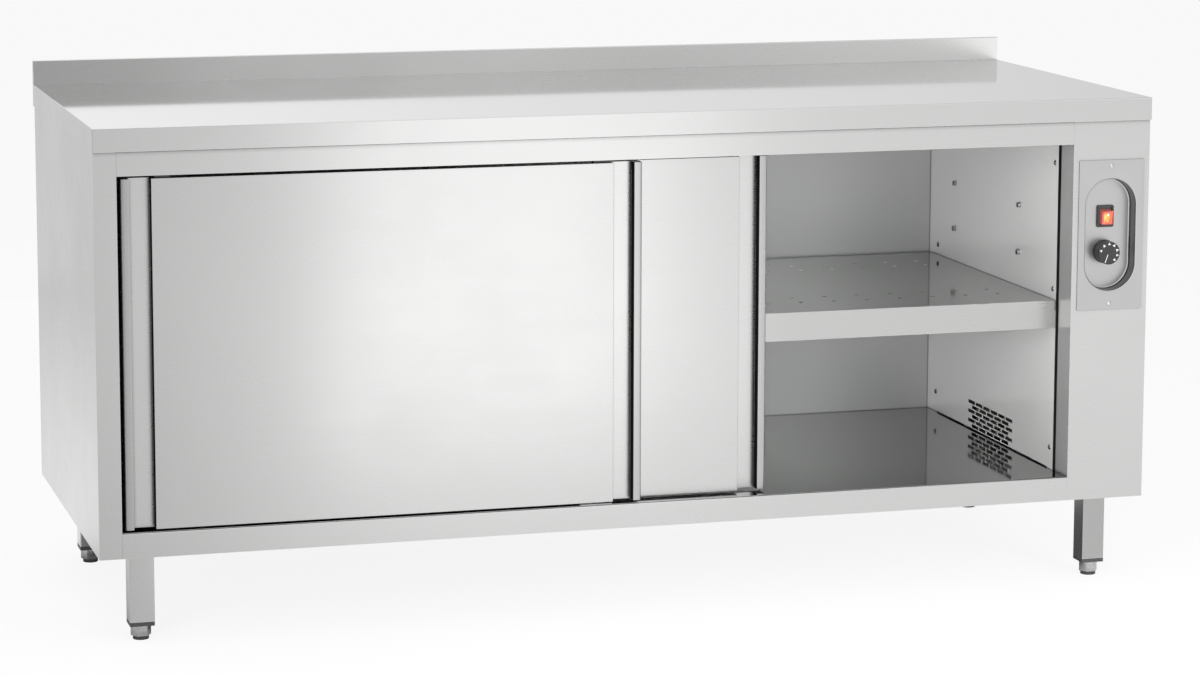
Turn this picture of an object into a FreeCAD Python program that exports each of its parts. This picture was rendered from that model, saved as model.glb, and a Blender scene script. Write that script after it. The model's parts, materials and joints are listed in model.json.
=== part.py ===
import FreeCAD, Part
import math
import os
import re

# Plate warmer cabinet with a worktop, two sliding doors, one middle shelf and a blower heater.
# X runs to the right along the front, Y runs to the back, Z runs up.
# The origin lies on the floor, under the middle of the worktop. All lengths are millimetres.

doc = FreeCAD.newDocument("plate_warmer_cabinet")
sheet = doc.addObject("Spreadsheet::Sheet", "sizes")

SIZES = {
    # worktop
    "worktop_length": 1800.0,
    "worktop_depth": 700.0,
    "worktop_edge": 38.0,
    "worktop_sheet": 1.5,
    "worktop_hem": 14.0,
    "worktop_corner": 1.4,
    "upstand_height": 42.0,
    "upstand_thickness": 10.0,
    # outer shell
    "body_height": 652.0,
    "body_side_inset": 1.0,
    "body_front_inset": 4.0,
    "body_back_inset": 10.0,
    "shell_sheet": 1.2,
    "post_width": 37.0,
    "jamb_depth": 52.0,
    "top_rail_height": 39.0,
    "bottom_rail_height": 40.0,
    "rail_flange": 20.0,
    "rail_top_flange": 12.0,
    "rail_hem": 2.6,
    "control_width": 139.0,
    "control_flange": 18.0,
    # heated chamber
    "liner_sheet": 1.0,
    "liner_side_gap": 4.0,
    "liner_front_inset": 61.0,
    "liner_back_inset": 45.0,
    "partition_step": 3.0,
    "partition_flange": 24.0,
    "ceiling_drop": 35.0,
    "wall_slot_height": 2.5,
    "wall_slot_front": 25.0,
    "wall_slot_back": 52.0,
    # middle shelf, its studs and the screws of the chamber walls
    "shelf_height": 338.0,
    "shelf_sheet": 1.2,
    "shelf_corner": 0.8,
    "shelf_play": 1.5,
    "shelf_lip": 48.0,
    "shelf_side_lip": 18.7,
    "shelf_back_lip": 25.0,
    "shelf_hem": 12.0,
    "shelf_front_step": 1.0,
    "shelf_back_gap": 17.0,
    "shelf_hole_diameter": 8.0,
    "shelf_hole_pitch": 60.0,
    "shelf_hole_margin": 68.0,
    "shelf_row_edge": 93.0,
    "shelf_row_pitch": 49.0,
    "stiffener_width": 60.0,
    "stiffener_height": 18.0,
    "stiffener_flange": 15.0,
    "stud_diameter": 9.0,
    "stud_length": 5.5,
    "stud_shank_diameter": 5.0,
    "stud_shank_length": 7.0,
    "stud_pitch": 83.5,
    "stud_front_inset": 167.0,
    "stud_back_inset": 125.0,
    "screw_head_diameter": 9.0,
    "screw_head_height": 2.6,
    "screw_shank_diameter": 4.0,
    "screw_shank_length": 9.0,
    "screw_front_inset": 14.0,
    "screw_back_inset": 43.0,
    "screw_over_deck": 38.0,
    "screw_over_shelf": 18.0,
    "screw_under_ceiling": 42.0,
    # warm air grille in the partition
    "grille_back_inset": 206.0,
    "grille_low_height": 45.5,
    "grille_row_pitch": 8.6,
    "grille_slot_pitch": 35.2,
    "grille_slot_length": 30.4,
    "grille_slot_height": 6.2,
    # sliding doors
    "door_width": 856.0,
    "door_height": 563.0,
    "door_thickness": 24.0,
    "door_sheet": 1.0,
    "door_end_gap": 6.0,
    "door_floor_gap": 4.0,
    "door_front_step": 3.0,
    "door_lane_pitch": 28.0,
    "rear_door_shift": 225.0,
    "grip_lip": 14.0,
    "grip_width": 35.0,
    "grip_depth": 18.0,
    "grip_round": 5.0,
    "grip_edge_round": 0.8,
    # door running gear
    "track_sheet": 1.5,
    "track_lip": 8.5,
    "track_lip_height": 11.0,
    "track_back_gap": 1.3,
    "roller_diameter": 22.0,
    "roller_width": 6.5,
    "roller_edge": 0.8,
    "roller_place": 3.0,
    "axle_diameter": 6.0,
    "axle_head_diameter": 11.0,
    "axle_head": 0.8,
    "axle_play": 0.2,
    "axle_collar": 1.5,
    "axle_collar_diameter": 9.0,
    "hanger_sheet": 2.0,
    "hanger_width": 25.0,
    "hanger_depth": 12.0,
    "hanger_height": 33.0,
    "hanger_end_place": 68.0,
    "guide_end_place": 77.5,
    "guide_length": 55.0,
    "guide_edge": 2.0,
    "guide_height": 13.0,
    "guide_block_sheet": 2.0,
    "guide_block_length": 40.0,
    "guide_foot_width": 10.0,
    "guide_foot_height": 1.5,
    # control plate with its pressed cup
    "plate_width": 118.0,
    "plate_height": 256.0,
    "plate_centre_height": 457.0,
    "plate_sheet": 1.2,
    "plate_screw_inset": 10.0,
    "plate_screw_diameter": 7.5,
    "plate_screw_head": 1.8,
    "plate_screw_length": 12.0,
    "plate_screw_shank": 4.0,
    "cup_width": 91.0,
    "cup_height": 191.0,
    "cup_depth": 25.0,
    "cup_round": 3.0,
    "cup_panel_gap": 2.0,
    # rocker switch
    "switch_raise": 29.0,
    "bezel_width": 30.0,
    "bezel_height": 37.0,
    "bezel_thickness": 4.0,
    "bezel_wall": 3.0,
    "switch_body_depth": 27.0,
    "switch_floor": 8.0,
    "switch_play": 0.7,
    "rocker_width": 22.6,
    "rocker_height": 26.6,
    "rocker_front": 9.0,
    "rocker_pivot_depth": 8.0,
    "rocker_angle": 7.0,
    "rocker_round": 2.0,
    "rocker_reach": 4.0,
    "trunnion_diameter": 3.0,
    "trunnion_length": 26.0,
    # thermostat and knob
    "knob_drop": 32.0,
    "knob_diameter": 40.0,
    "knob_height": 21.0,
    "knob_edge": 1.5,
    "knob_skirt": 3.0,
    "knob_taper": 2.0,
    "knob_lift": 1.2,
    "knob_cap": 5.0,
    "shaft_diameter": 6.0,
    "shaft_seat": 12.0,
    "thermostat_side": 36.0,
    "thermostat_depth": 24.0,
    "thermostat_neck_diameter": 9.6,
    "thermostat_neck_proud": 0.8,
    # blower heater behind the grille
    "scroll_sheet": 1.2,
    "scroll_depth": 84.0,
    "scroll_height": 58.0,
    "scroll_margin": 6.0,
    "scroll_inlet": 34.0,
    "wheel_diameter": 44.0,
    "wheel_from_back": 30.0,
    "wheel_disc": 1.5,
    "wheel_blade": 1.2,
    "wheel_blade_depth": 6.0,
    "wheel_shaft_diameter": 6.0,
    "wheel_play": 4.0,
    "wheel_stub": 16.0,
    "motor_length": 42.0,
    "motor_side": 50.0,
    "motor_edge": 6.0,
    "element_tube_diameter": 6.5,
    "element_spacing": 26.0,
    "element_step": 15.0,
    "element_tail": 22.0,
    "element_fin_width": 20.0,
    "element_fin_height": 46.0,
    "element_fin_sheet": 1.0,
    "element_fin_pitch": 9.0,
    # wiring inlet
    "gland_thread_diameter": 20.0,
    "gland_nut_diameter": 27.0,
    "gland_bore_diameter": 10.0,
    "gland_outside": 8.0,
    "gland_inside": 14.0,
    "gland_nut_height": 6.0,
    "gland_side_place": 70.0,
    "gland_height": 60.0,
    "terminal_length": 66.0,
    "terminal_width": 24.0,
    "terminal_height": 20.0,
    "terminal_bore_diameter": 5.0,
    "terminal_bore_depth": 12.0,
    "terminal_back_place": 130.0,
    # legs and feet
    "leg_side": 40.0,
    "leg_wall": 1.5,
    "leg_corner": 2.0,
    "leg_length": 114.0,
    "leg_end_inset": 53.5,
    "leg_front_inset": 39.0,
    "leg_back_inset": 65.0,
    "leg_cap": 3.0,
    "insert_lip": 6.7,
    "insert_plug": 28.0,
    "foot_gap": 0.3,
    "foot_hex_flats": 29.0,
    "foot_hex_height": 18.0,
    "foot_hex_edge": 1.2,
    "foot_pad_height": 6.0,
    "foot_pad_diameter": 26.0,
    "foot_pad_edge": 1.0,
    "foot_stem_diameter": 12.0,
    "foot_stem_length": 62.0,
    "stem_clearance": 0.05,
    "leg_plate_side": 60.0,
    "leg_plate_sheet": 3.0,
    "leg_bolt_diameter": 10.0,
    "leg_bolt_clearance": 0.5,
    "leg_nut_flats": 17.0,
    "leg_nut_height": 8.0,
    "leg_bolt_head": 6.4,
    "leg_bolt_end": 4.0,
    # clearances that many pieces share
    "running_clearance": 0.05,
    "rest_gap": 0.3,
    "overrun": 2.0,
}

# Counts of the repeated pieces and holes.
SHELF_HOLE_ROWS = 2
STUD_ROWS = 3
GRILLE_ROWS = 6
GRILLE_SLOTS = 6
WHEEL_BLADES = 24
TERMINAL_POLES = 5

HEX_CORNER_SHARE = 1 / math.sqrt(3)
TOUCH = 1e-4

for row, (alias, number) in enumerate(SIZES.items(), start=1):
    sheet.set(f"A{row}", alias)
    sheet.set(f"B{row}", str(number))
    sheet.setAlias(f"B{row}", alias)
doc.recompute()

# Places that several pieces share, worked out from the sizes.
PLACES = {
    "worktop_right": "worktop_length / 2",
    "worktop_left": "-worktop_right",
    "worktop_back": "worktop_depth / 2",
    "worktop_front": "-worktop_back",
    "upstand_front": "worktop_back - upstand_thickness",
    "foot_high": "foot_pad_height + foot_hex_height",
    "insert_low": "foot_high + foot_gap",
    "leg_low": "insert_low + insert_lip",
    "body_low": "leg_low + leg_length",
    "body_high": "body_low + body_height",
    "worktop_high": "body_high + worktop_edge",
    "upstand_high": "worktop_high + upstand_height",
    "board_low": "body_high + worktop_sheet",
    "board_high": "worktop_high - worktop_sheet",
    "body_left": "worktop_left + body_side_inset",
    "body_right": "worktop_right - body_side_inset",
    "body_front": "worktop_front + body_front_inset",
    "body_back": "worktop_back - body_back_inset",
    "inner_left": "body_left + shell_sheet",
    "inner_right": "body_right - shell_sheet",
    "inner_front": "body_front + shell_sheet",
    "inner_back": "body_back - shell_sheet",
    "base_high": "body_low + shell_sheet",
    "opening_left": "body_left + post_width",
    "opening_right": "body_right - control_width",
    "opening_low": "body_low + bottom_rail_height",
    "opening_high": "body_high - top_rail_height",
    "deck_high": "opening_low + liner_sheet",
    "chamber_left": "opening_left + liner_side_gap",
    "chamber_right": "opening_right - partition_step",
    "chamber_front": "worktop_front + liner_front_inset",
    "chamber_back": "worktop_back - liner_back_inset",
    "chamber_high": "body_high - ceiling_drop",
    "partition_right": "chamber_right + liner_sheet",
    "liner_left": "chamber_left - liner_sheet",
    "liner_back": "chamber_back + liner_sheet",
    "ceiling_low": "chamber_high - liner_sheet",
    "stud_front": "chamber_front + stud_front_inset",
    "stud_back": "chamber_back - stud_back_inset",
    "screw_front": "chamber_front + screw_front_inset",
    "screw_back": "chamber_back - screw_back_inset",
    "shelf_high": "body_low + shelf_height",
    "shelf_low": "shelf_high - shelf_sheet",
    "shelf_left": "chamber_left + shelf_play",
    "shelf_right": "chamber_right - shelf_play",
    "shelf_front": "chamber_front + shelf_front_step",
    "shelf_back": "chamber_back - shelf_back_gap",
    "shelf_rest": "shelf_high - shelf_side_lip",
    "stud_low": "shelf_rest - rest_gap - stud_diameter / 2",
    "door_low": "deck_high + door_floor_gap",
    "door_high": "door_low + door_height",
    "front_door_left": "opening_left + door_end_gap",
    "front_door_face": "body_front + door_front_step",
    "grip_inner_round": "grip_round - door_sheet",
    "rear_door_left": "front_door_left + rear_door_shift",
    "rear_door_face": "front_door_face + door_lane_pitch",
    "track_high": "body_high - shell_sheet",
    "track_back": "chamber_front - track_back_gap",
    "track_lip_high": "door_high + track_lip_height",
    "roller_height": "track_lip_high + rest_gap + roller_diameter / 2",
    "guide_x": "front_door_left + door_width - guide_end_place",
    "guide_seat": "deck_high + shell_sheet",
    "plate_middle": "(opening_right + body_right) / 2",
    "plate_centre": "body_low + plate_centre_height",
    "plate_left": "plate_middle - plate_width / 2",
    "plate_right": "plate_middle + plate_width / 2",
    "plate_low": "plate_centre - plate_height / 2",
    "plate_high": "plate_centre + plate_height / 2",
    "plate_screw_reach": "plate_height / 2 - plate_screw_inset",
    "plate_face": "body_front - plate_sheet",
    "cup_floor": "plate_face + cup_depth",
    "cup_rear": "cup_floor + plate_sheet",
    "cup_grow": "plate_sheet + cup_panel_gap",
    "cup_neck_round": "cup_round - plate_sheet",
    "cup_heel_round": "cup_round + plate_sheet",
    "switch_centre": "plate_centre + switch_raise",
    "bezel_face": "cup_floor - bezel_thickness",
    "switch_width": "bezel_width - bezel_wall",
    "switch_height": "bezel_height - bezel_wall",
    "rocker_pivot": "bezel_face + rocker_pivot_depth",
    "knob_centre": "plate_centre - knob_drop",
    "knob_rear": "cup_floor - knob_lift",
    "knob_face": "knob_rear - knob_height",
    "shaft_front": "knob_face + knob_cap",
    "shaft_back": "cup_rear + shaft_seat",
    "grille_back": "chamber_back - grille_back_inset",
    "grille_front": f"grille_back - {GRILLE_SLOTS - 1} * grille_slot_pitch - grille_slot_length",
    "grille_low": "body_low + grille_low_height",
    "scroll_left": "partition_right",
    "scroll_right": "scroll_left + scroll_depth",
    "scroll_front": "grille_front - scroll_margin",
    "scroll_back": "grille_back + scroll_margin",
    "scroll_low": "grille_low - scroll_margin",
    "scroll_high": "scroll_low + scroll_height",
    "wheel_x": "scroll_right - wheel_from_back",
    "wheel_z": "(scroll_low + scroll_high) / 2",
    "element_x": "scroll_left + element_step",
    "gland_x": "body_right - gland_side_place",
    "gland_z": "body_low + gland_height",
    "leg_plate_high": "base_high + leg_plate_sheet",
}


def formula(text):
    """The formula with each name read from the sheet of sizes or the set of places."""
    def home(found):
        name = found.group()
        if name in SIZES:
            return "sizes." + name
        if name in PLACES:
            return "places." + name
        raise ValueError(f"no size or place is called {name}")
    return re.sub(r"[a-z]\w*", home, text)


places = doc.addObject("App::VarSet", "places")
for place, text in PLACES.items():
    places.addProperty("App::PropertyFloat", place)
    places.setExpression(place, formula(text))
doc.recompute()


marks = doc.addObject("App::VarSet", "marks")
mark_names = {}


def value(text):
    """The number that a size, a place or a formula of them gives."""
    if text not in mark_names:
        mark_names[text] = f"mark_{len(mark_names)}"
        marks.addProperty("App::PropertyFloat", mark_names[text])
        marks.setExpression(mark_names[text], formula(text))
        marks.recompute()
    return float(getattr(marks, mark_names[text]))


nodes = []


def node(label, piece):
    """Name a finished sub-part, which is then written to its own file."""
    piece.Label = label
    nodes.append(piece)
    return piece


def block(name, x, y, z):
    """A box between two formulas along each axis."""
    box = doc.addObject("Part::Box", name)
    for side, axis, (low, high) in zip(("Length", "Width", "Height"), "xyz", (x, y, z)):
        box.setExpression(side, formula(f"({high}) - ({low})"))
        box.setExpression(f"Placement.Base.{axis}", formula(low))
    return box


TURNS = {
    "x": FreeCAD.Rotation(FreeCAD.Vector(0, 1, 0), 90),
    "y": FreeCAD.Rotation(FreeCAD.Vector(1, 0, 0), -90),
    "z": FreeCAD.Rotation(),
}


def set_place(piece, x, y, z):
    for axis, text in zip("xyz", (x, y, z)):
        piece.setExpression(f"Placement.Base.{axis}", formula(text))


def rod(name, along, diameter, x, y, z, length):
    """A cylinder that starts at x, y, z and runs in the positive direction of one axis."""
    cylinder = doc.addObject("Part::Cylinder", name)
    cylinder.Placement = FreeCAD.Placement(FreeCAD.Vector(), TURNS[along])
    cylinder.setExpression("Radius", formula(f"({diameter}) / 2"))
    cylinder.setExpression("Height", formula(length))
    set_place(cylinder, x, y, z)
    return cylinder


def prism(name, along, flats, x, y, z, length):
    """A hexagonal bar, measured across its flats."""
    bar = doc.addObject("Part::Prism", name)
    bar.Placement = FreeCAD.Placement(FreeCAD.Vector(), TURNS[along])
    bar.Polygon = 6
    bar.setExpression("Circumradius", formula(f"({flats}) * {HEX_CORNER_SHARE}"))
    bar.setExpression("Height", formula(length))
    set_place(bar, x, y, z)
    return bar


def feature(name, shape):
    """An object for a shape that is made from the sizes in code."""
    result = doc.addObject("Part::Feature", name)
    result.Shape = shape
    return result


def joined(name, *pieces):
    """One solid made of pieces that touch."""
    fuse = doc.addObject("Part::MultiFuse", name)
    fuse.Shapes = list(pieces)
    fuse.Refine = True
    return fuse


def cut(name, base, *tools):
    """The base with every tool taken out of it."""
    result = doc.addObject("Part::Cut", name)
    result.Base = base
    result.Tool = tools[0] if len(tools) == 1 else joined(name + "_tools", *tools)
    result.Refine = True
    return result


def group(name, *pieces):
    """Separate solids that share one sub-part."""
    compound = doc.addObject("Part::Compound", name)
    compound.Links = list(pieces)
    return compound


def rounded(name, base, radius, wanted, flat=False):
    """The base with a round, or a flat bevel, on each edge that the test picks."""
    doc.recompute()
    kind = "Part::Chamfer" if flat else "Part::Fillet"
    result = doc.addObject(kind, name)
    result.Base = base
    width = value(radius)
    picked = [index for index, edge in enumerate(base.Shape.Edges, start=1) if wanted(edge)]
    result.Edges = [(index, width, width) for index in picked]
    return result


def at(number, *texts):
    """True where a number matches one of the formulas."""
    return any(math.isclose(number, value(text), abs_tol=TOUCH) for text in texts)


def spans(edge, axis):
    """The low and high end of an edge along one axis, 0 for X, 1 for Y and 2 for Z."""
    box = edge.BoundBox
    return ((box.XMin, box.XMax), (box.YMin, box.YMax), (box.ZMin, box.ZMax))[axis]


def extent(edge, axis):
    low, high = spans(edge, axis)
    return high - low


def lies_at(edge, axis, *texts):
    """True for an edge that stays at one of the formulas along an axis."""
    return extent(edge, axis) < TOUCH and at(spans(edge, axis)[0], *texts)


def make_worktop():
    x = ("worktop_left", "worktop_right")
    slab = block("worktop_slab", x, ("worktop_front", "worktop_back"), ("body_high", "worktop_high"))
    upstand = block("upstand", x, ("upstand_front", "worktop_back"), ("body_high", "upstand_high"))
    outer = joined("worktop_outer", rounded("slab_bends", slab, "worktop_corner", is_slab_bend),
                   rounded("upstand_bends", upstand, "worktop_corner",
                           lambda edge: lies_at(edge, 2, "upstand_high")))
    inside_x = ("worktop_left + worktop_sheet", "worktop_right - worktop_sheet")
    inside_y = ("worktop_front + worktop_sheet", "worktop_back - worktop_sheet")
    hollow = block("worktop_hollow", inside_x, inside_y, ("board_low", "board_high"))
    upstand_y = ("upstand_front + worktop_sheet", "worktop_back - worktop_sheet")
    upstand_hollow = block("upstand_hollow", inside_x, upstand_y,
                           ("board_low", "upstand_high - worktop_sheet"))
    mouth = block("worktop_mouth", ("worktop_left + worktop_hem", "worktop_right - worktop_hem"),
                  ("worktop_front + worktop_hem", "worktop_back - worktop_hem"),
                  ("body_high - overrun", "board_low + overrun"))
    node("worktop", cut("worktop_shell", outer, hollow, upstand_hollow, mouth))
    node("worktop_board", block("board", inside_x,
                                ("worktop_front + worktop_sheet", "upstand_front - worktop_sheet"),
                                ("board_low", "board_high")))


def is_slab_bend(edge):
    """The bends along the front and the ends, and the two upright front corners."""
    if lies_at(edge, 2, "worktop_high"):
        return not lies_at(edge, 1, "worktop_back")
    return lies_at(edge, 1, "worktop_front") and lies_at(edge, 0, "worktop_left", "worktop_right")


def make_shell():
    """The outer sheets, whose flanges lie inside the faces beside them."""
    full = ("body_low", "body_high")
    inside = ("base_high", "body_high")
    face = ("body_front", "inner_front")
    jamb = ("body_front", "body_front + jamb_depth")
    node("left_side_panel", joined(
        "left_side",
        block("left_sheet", ("body_left", "inner_left"), ("body_front", "body_back"), full),
        block("left_post", ("body_left", "opening_left"), face, full),
        block("left_jamb", ("opening_left - shell_sheet", "opening_left"), jamb, inside)))
    node("right_side_panel", block("right_side", ("inner_right", "body_right"),
                                   ("inner_front", "body_back"), full))
    control = joined(
        "control_sheet",
        block("control_face", ("opening_right", "body_right"), face, full),
        block("control_jamb", ("opening_right", "opening_right + shell_sheet"), jamb, inside),
        block("control_return", ("inner_right - shell_sheet", "inner_right"),
              ("body_front", "body_front + control_flange"), inside))
    cup_hole = stadium("cup_hole", "cup_width + 2 * cup_grow", "cup_height + 2 * cup_grow",
                       ("body_front - overrun", "inner_front + overrun"))
    node("control_front_panel", cut("control_front", control, cup_hole, *plate_screw_holes("panel")))
    gland_hole = rod("gland_hole", "y", "gland_thread_diameter + 2 * running_clearance",
                     "gland_x", "inner_back - overrun", "gland_z", "shell_sheet + 2 * overrun")
    node("rear_panel", cut("rear", block("rear_sheet", ("inner_left", "inner_right"),
                                         ("inner_back", "body_back"), full), gland_hole))
    base_sheet = block("base_sheet", ("inner_left", "inner_right"), ("inner_front", "inner_back"),
                       ("body_low", "base_high"))
    bolt_holes = [bolt_hole(f"base_bolt_hole_{corner}", x, y, "body_low - overrun",
                            "shell_sheet + 2 * overrun") for corner, x, y in leg_centres()]
    node("base_panel", cut("base", base_sheet, *bolt_holes))


def make_rails():
    wide = ("opening_left", "opening_right")
    face = ("body_front", "inner_front")
    node("top_front_rail", joined(
        "top_rail",
        block("top_rail_face", wide, face, ("opening_high", "body_high")),
        block("top_rail_hem", wide, ("body_front", "body_front + rail_hem"),
              ("opening_high", "opening_high + shell_sheet")),
        block("top_rail_flange", wide, ("body_front", "body_front + rail_top_flange"),
              ("track_high", "body_high"))))
    node("bottom_front_rail", joined(
        "bottom_rail",
        block("bottom_rail_face", wide, face, ("body_low", "opening_low")),
        block("bottom_rail_flange", wide, ("body_front", "body_front + rail_flange"),
              ("opening_low - shell_sheet", "opening_low"))))


def make_deck():
    deck = ("opening_low", "deck_high")
    node("floor_deck", joined(
        "deck",
        block("deck_front", ("opening_left", "opening_right"), ("front_door_face", "chamber_front"), deck),
        block("deck_rear", ("opening_left", "chamber_right"), ("chamber_front", "liner_back"), deck),
        block("deck_flange", ("opening_left", "chamber_right"), ("chamber_back", "liner_back"),
              ("base_high", "deck_high"))))


def make_liners():
    """The walls of the heated chamber, which stand on its deck and carry its ceiling."""
    tall = ("deck_high", "ceiling_low")
    wall = block("left_liner_wall", ("liner_left", "chamber_left"), ("chamber_front", "chamber_back"), tall)
    flange = block("left_liner_flange", ("inner_left", "chamber_left"),
                   ("chamber_front", "chamber_front + liner_sheet"), tall)
    node("left_liner", cut("left_liner_pierced", joined("left_liner_sheet", wall, flange),
                           *wall_holes("left", "liner_left")))
    node("rear_liner", block("rear_liner_sheet", ("liner_left", "chamber_right"),
                             ("chamber_back", "liner_back"), tall))
    wide = ("liner_left", "chamber_right")
    node("ceiling_liner", joined(
        "ceiling",
        block("ceiling_sheet", wide, ("chamber_front", "liner_back"), ("ceiling_low", "chamber_high")),
        block("ceiling_flange", wide, ("chamber_front", "chamber_front + liner_sheet"),
              ("ceiling_low", "body_high"))))


def make_partition():
    wall = block("partition_sheet", ("chamber_right", "partition_right"), ("chamber_front", "inner_back"),
                 ("base_high", "body_high"))
    flange = block("partition_flange_sheet", ("chamber_right", "chamber_right + partition_flange"),
                   ("chamber_front", "chamber_front + liner_sheet"), ("base_high", "body_high"))
    foot_slot = block("partition_foot_slot", ("chamber_right - overrun", "partition_right + overrun"),
                      ("chamber_front + wall_slot_front", "chamber_back - wall_slot_back"),
                      ("deck_high", "deck_high + wall_slot_height"))
    node("partition_wall", cut("partition", joined("partition_folded", wall, flange), foot_slot,
                               grille_slots(), *wall_holes("right", "chamber_right")))


def grille_slots():
    """Rows of slots, where every second row has one slot less and is moved by half a pitch."""
    slots = []
    x = value("chamber_right") - value("overrun")
    depth = value("liner_sheet") + 2 * value("overrun")
    for row in range(GRILLE_ROWS):
        short = 1 - row % 2
        z = value("grille_low") + row * value("grille_row_pitch")
        y_start = value("grille_front") + short * value("grille_slot_pitch") / 2
        for slot in range(GRILLE_SLOTS - short):
            y = y_start + slot * value("grille_slot_pitch")
            slots.append(Part.makeBox(depth, value("grille_slot_length"), value("grille_slot_height"),
                                      FreeCAD.Vector(x, y, z)))
    return feature("grille_slots", Part.makeCompound(slots))


def wall_rows(fastener):
    """The places along Y and the heights of the studs or screws of one chamber wall."""
    if fastener == "stud":
        return ["stud_front", "stud_back"], [f"stud_low + {row} * stud_pitch" for row in range(STUD_ROWS)]
    return ["screw_front", "screw_back"], [
        "deck_high + screw_over_deck", "shelf_high + screw_over_shelf", "ceiling_low - screw_under_ceiling"]


def wall_holes(side, start):
    holes = []
    for fastener, diameter in (("stud", "stud_shank_diameter"), ("screw", "screw_shank_diameter")):
        y_places, heights = wall_rows(fastener)
        for column, y in enumerate(y_places):
            for row, z in enumerate(heights):
                holes.append(rod(f"{side}_{fastener}_hole_{column}_{row}", "x",
                                 f"{diameter} + 2 * running_clearance", f"{start} - overrun", y, z,
                                 "liner_sheet + 2 * overrun"))
    return holes


def make_wall_fasteners():
    """Shelf studs and screws, whose heads lie on the inside of the walls."""
    for fastener, label in (("stud", "shelf_studs"), ("screw", "liner_screws")):
        head, head_length, shank, shank_length = {
            "stud": ("stud_diameter", "stud_length", "stud_shank_diameter", "stud_shank_length"),
            "screw": ("screw_head_diameter", "screw_head_height", "screw_shank_diameter",
                      "screw_shank_length"),
        }[fastener]
        y_places, heights = wall_rows(fastener)
        pieces = []
        for column, y in enumerate(y_places):
            for row, z in enumerate(heights):
                name = f"{fastener}_{column}_{row}"
                pieces.append(joined(
                    "left_" + name,
                    rod("left_head_" + name, "x", head, "chamber_left", y, z, head_length),
                    rod("left_shank_" + name, "x", shank, f"chamber_left - {shank_length}", y, z,
                        shank_length)))
                pieces.append(joined(
                    "right_" + name,
                    rod("right_head_" + name, "x", head, f"chamber_right - {head_length}", y, z,
                        head_length),
                    rod("right_shank_" + name, "x", shank, "chamber_right", y, z, shank_length)))
        node(label, group(fastener + "_set", *pieces))


def make_shelf():
    x = ("shelf_left", "shelf_right")
    y = ("shelf_front", "shelf_back")
    folded = joined(
        "shelf_sheet_folded",
        block("shelf_top", x, y, ("shelf_low", "shelf_high")),
        block("shelf_front_lip", x, ("shelf_front", "shelf_front + shelf_sheet"),
              ("shelf_high - shelf_lip", "shelf_high")),
        block("shelf_front_hem", x, ("shelf_front", "shelf_front + shelf_hem"),
              ("shelf_high - shelf_lip", "shelf_high - shelf_lip + shelf_sheet")),
        block("shelf_rear_lip", x, ("shelf_back - shelf_sheet", "shelf_back"),
              ("shelf_high - shelf_back_lip", "shelf_high")),
        block("shelf_left_lip", ("shelf_left", "shelf_left + shelf_sheet"), y, ("shelf_rest", "shelf_high")),
        block("shelf_right_lip", ("shelf_right - shelf_sheet", "shelf_right"), y,
              ("shelf_rest", "shelf_high")))
    bent = rounded("shelf_bend", folded, "shelf_corner",
                   lambda edge: lies_at(edge, 2, "shelf_high") and lies_at(edge, 1, "shelf_front"))
    node("middle_shelf", cut("shelf", bent, shelf_holes()))
    inside_x = ("shelf_left + shelf_sheet", "shelf_right - shelf_sheet")
    web = ("-stiffener_width / 2", "stiffener_width / 2")
    tall = ("shelf_low - stiffener_height", "shelf_low")
    hat = block("stiffener_hat", inside_x, web, tall)
    hollow = block("stiffener_hollow", ("shelf_left", "shelf_right"),
                   ("-stiffener_width / 2 + shelf_sheet", "stiffener_width / 2 - shelf_sheet"),
                   ("shelf_low - stiffener_height + shelf_sheet", "shelf_low + overrun"))
    brims = [block("stiffener_brim_" + side, inside_x, brim, ("shelf_low - shelf_sheet", "shelf_low"))
             for side, brim in (
                 ("front", ("-stiffener_width / 2 - stiffener_flange", "-stiffener_width / 2 + shelf_sheet")),
                 ("back", ("stiffener_width / 2 - shelf_sheet", "stiffener_width / 2 + stiffener_flange")))]
    node("shelf_stiffener", joined("stiffener", cut("stiffener_web", hat, hollow), *brims))


def shelf_holes():
    """Warm air holes through the shelf, in rows along its front and back."""
    width = value("shelf_right") - value("shelf_left")
    columns = 1 + int((width - value("shelf_hole_margin")) / value("shelf_hole_pitch"))
    radius = value("shelf_hole_diameter") / 2
    depth = value("shelf_sheet") + 2 * value("overrun")
    z = value("shelf_low") - value("overrun")
    holes = []
    for row in range(SHELF_HOLE_ROWS):
        step = value("shelf_row_edge") + row * value("shelf_row_pitch")
        for y in (value("shelf_front") + step, value("shelf_back") - step):
            for column in range(columns):
                x = value("shelf_right") - value("shelf_hole_margin") - column * value("shelf_hole_pitch")
                holes.append(Part.makeCylinder(radius, depth, FreeCAD.Vector(x, y, z)))
    return feature("shelf_holes", Part.makeCompound(holes))


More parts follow.
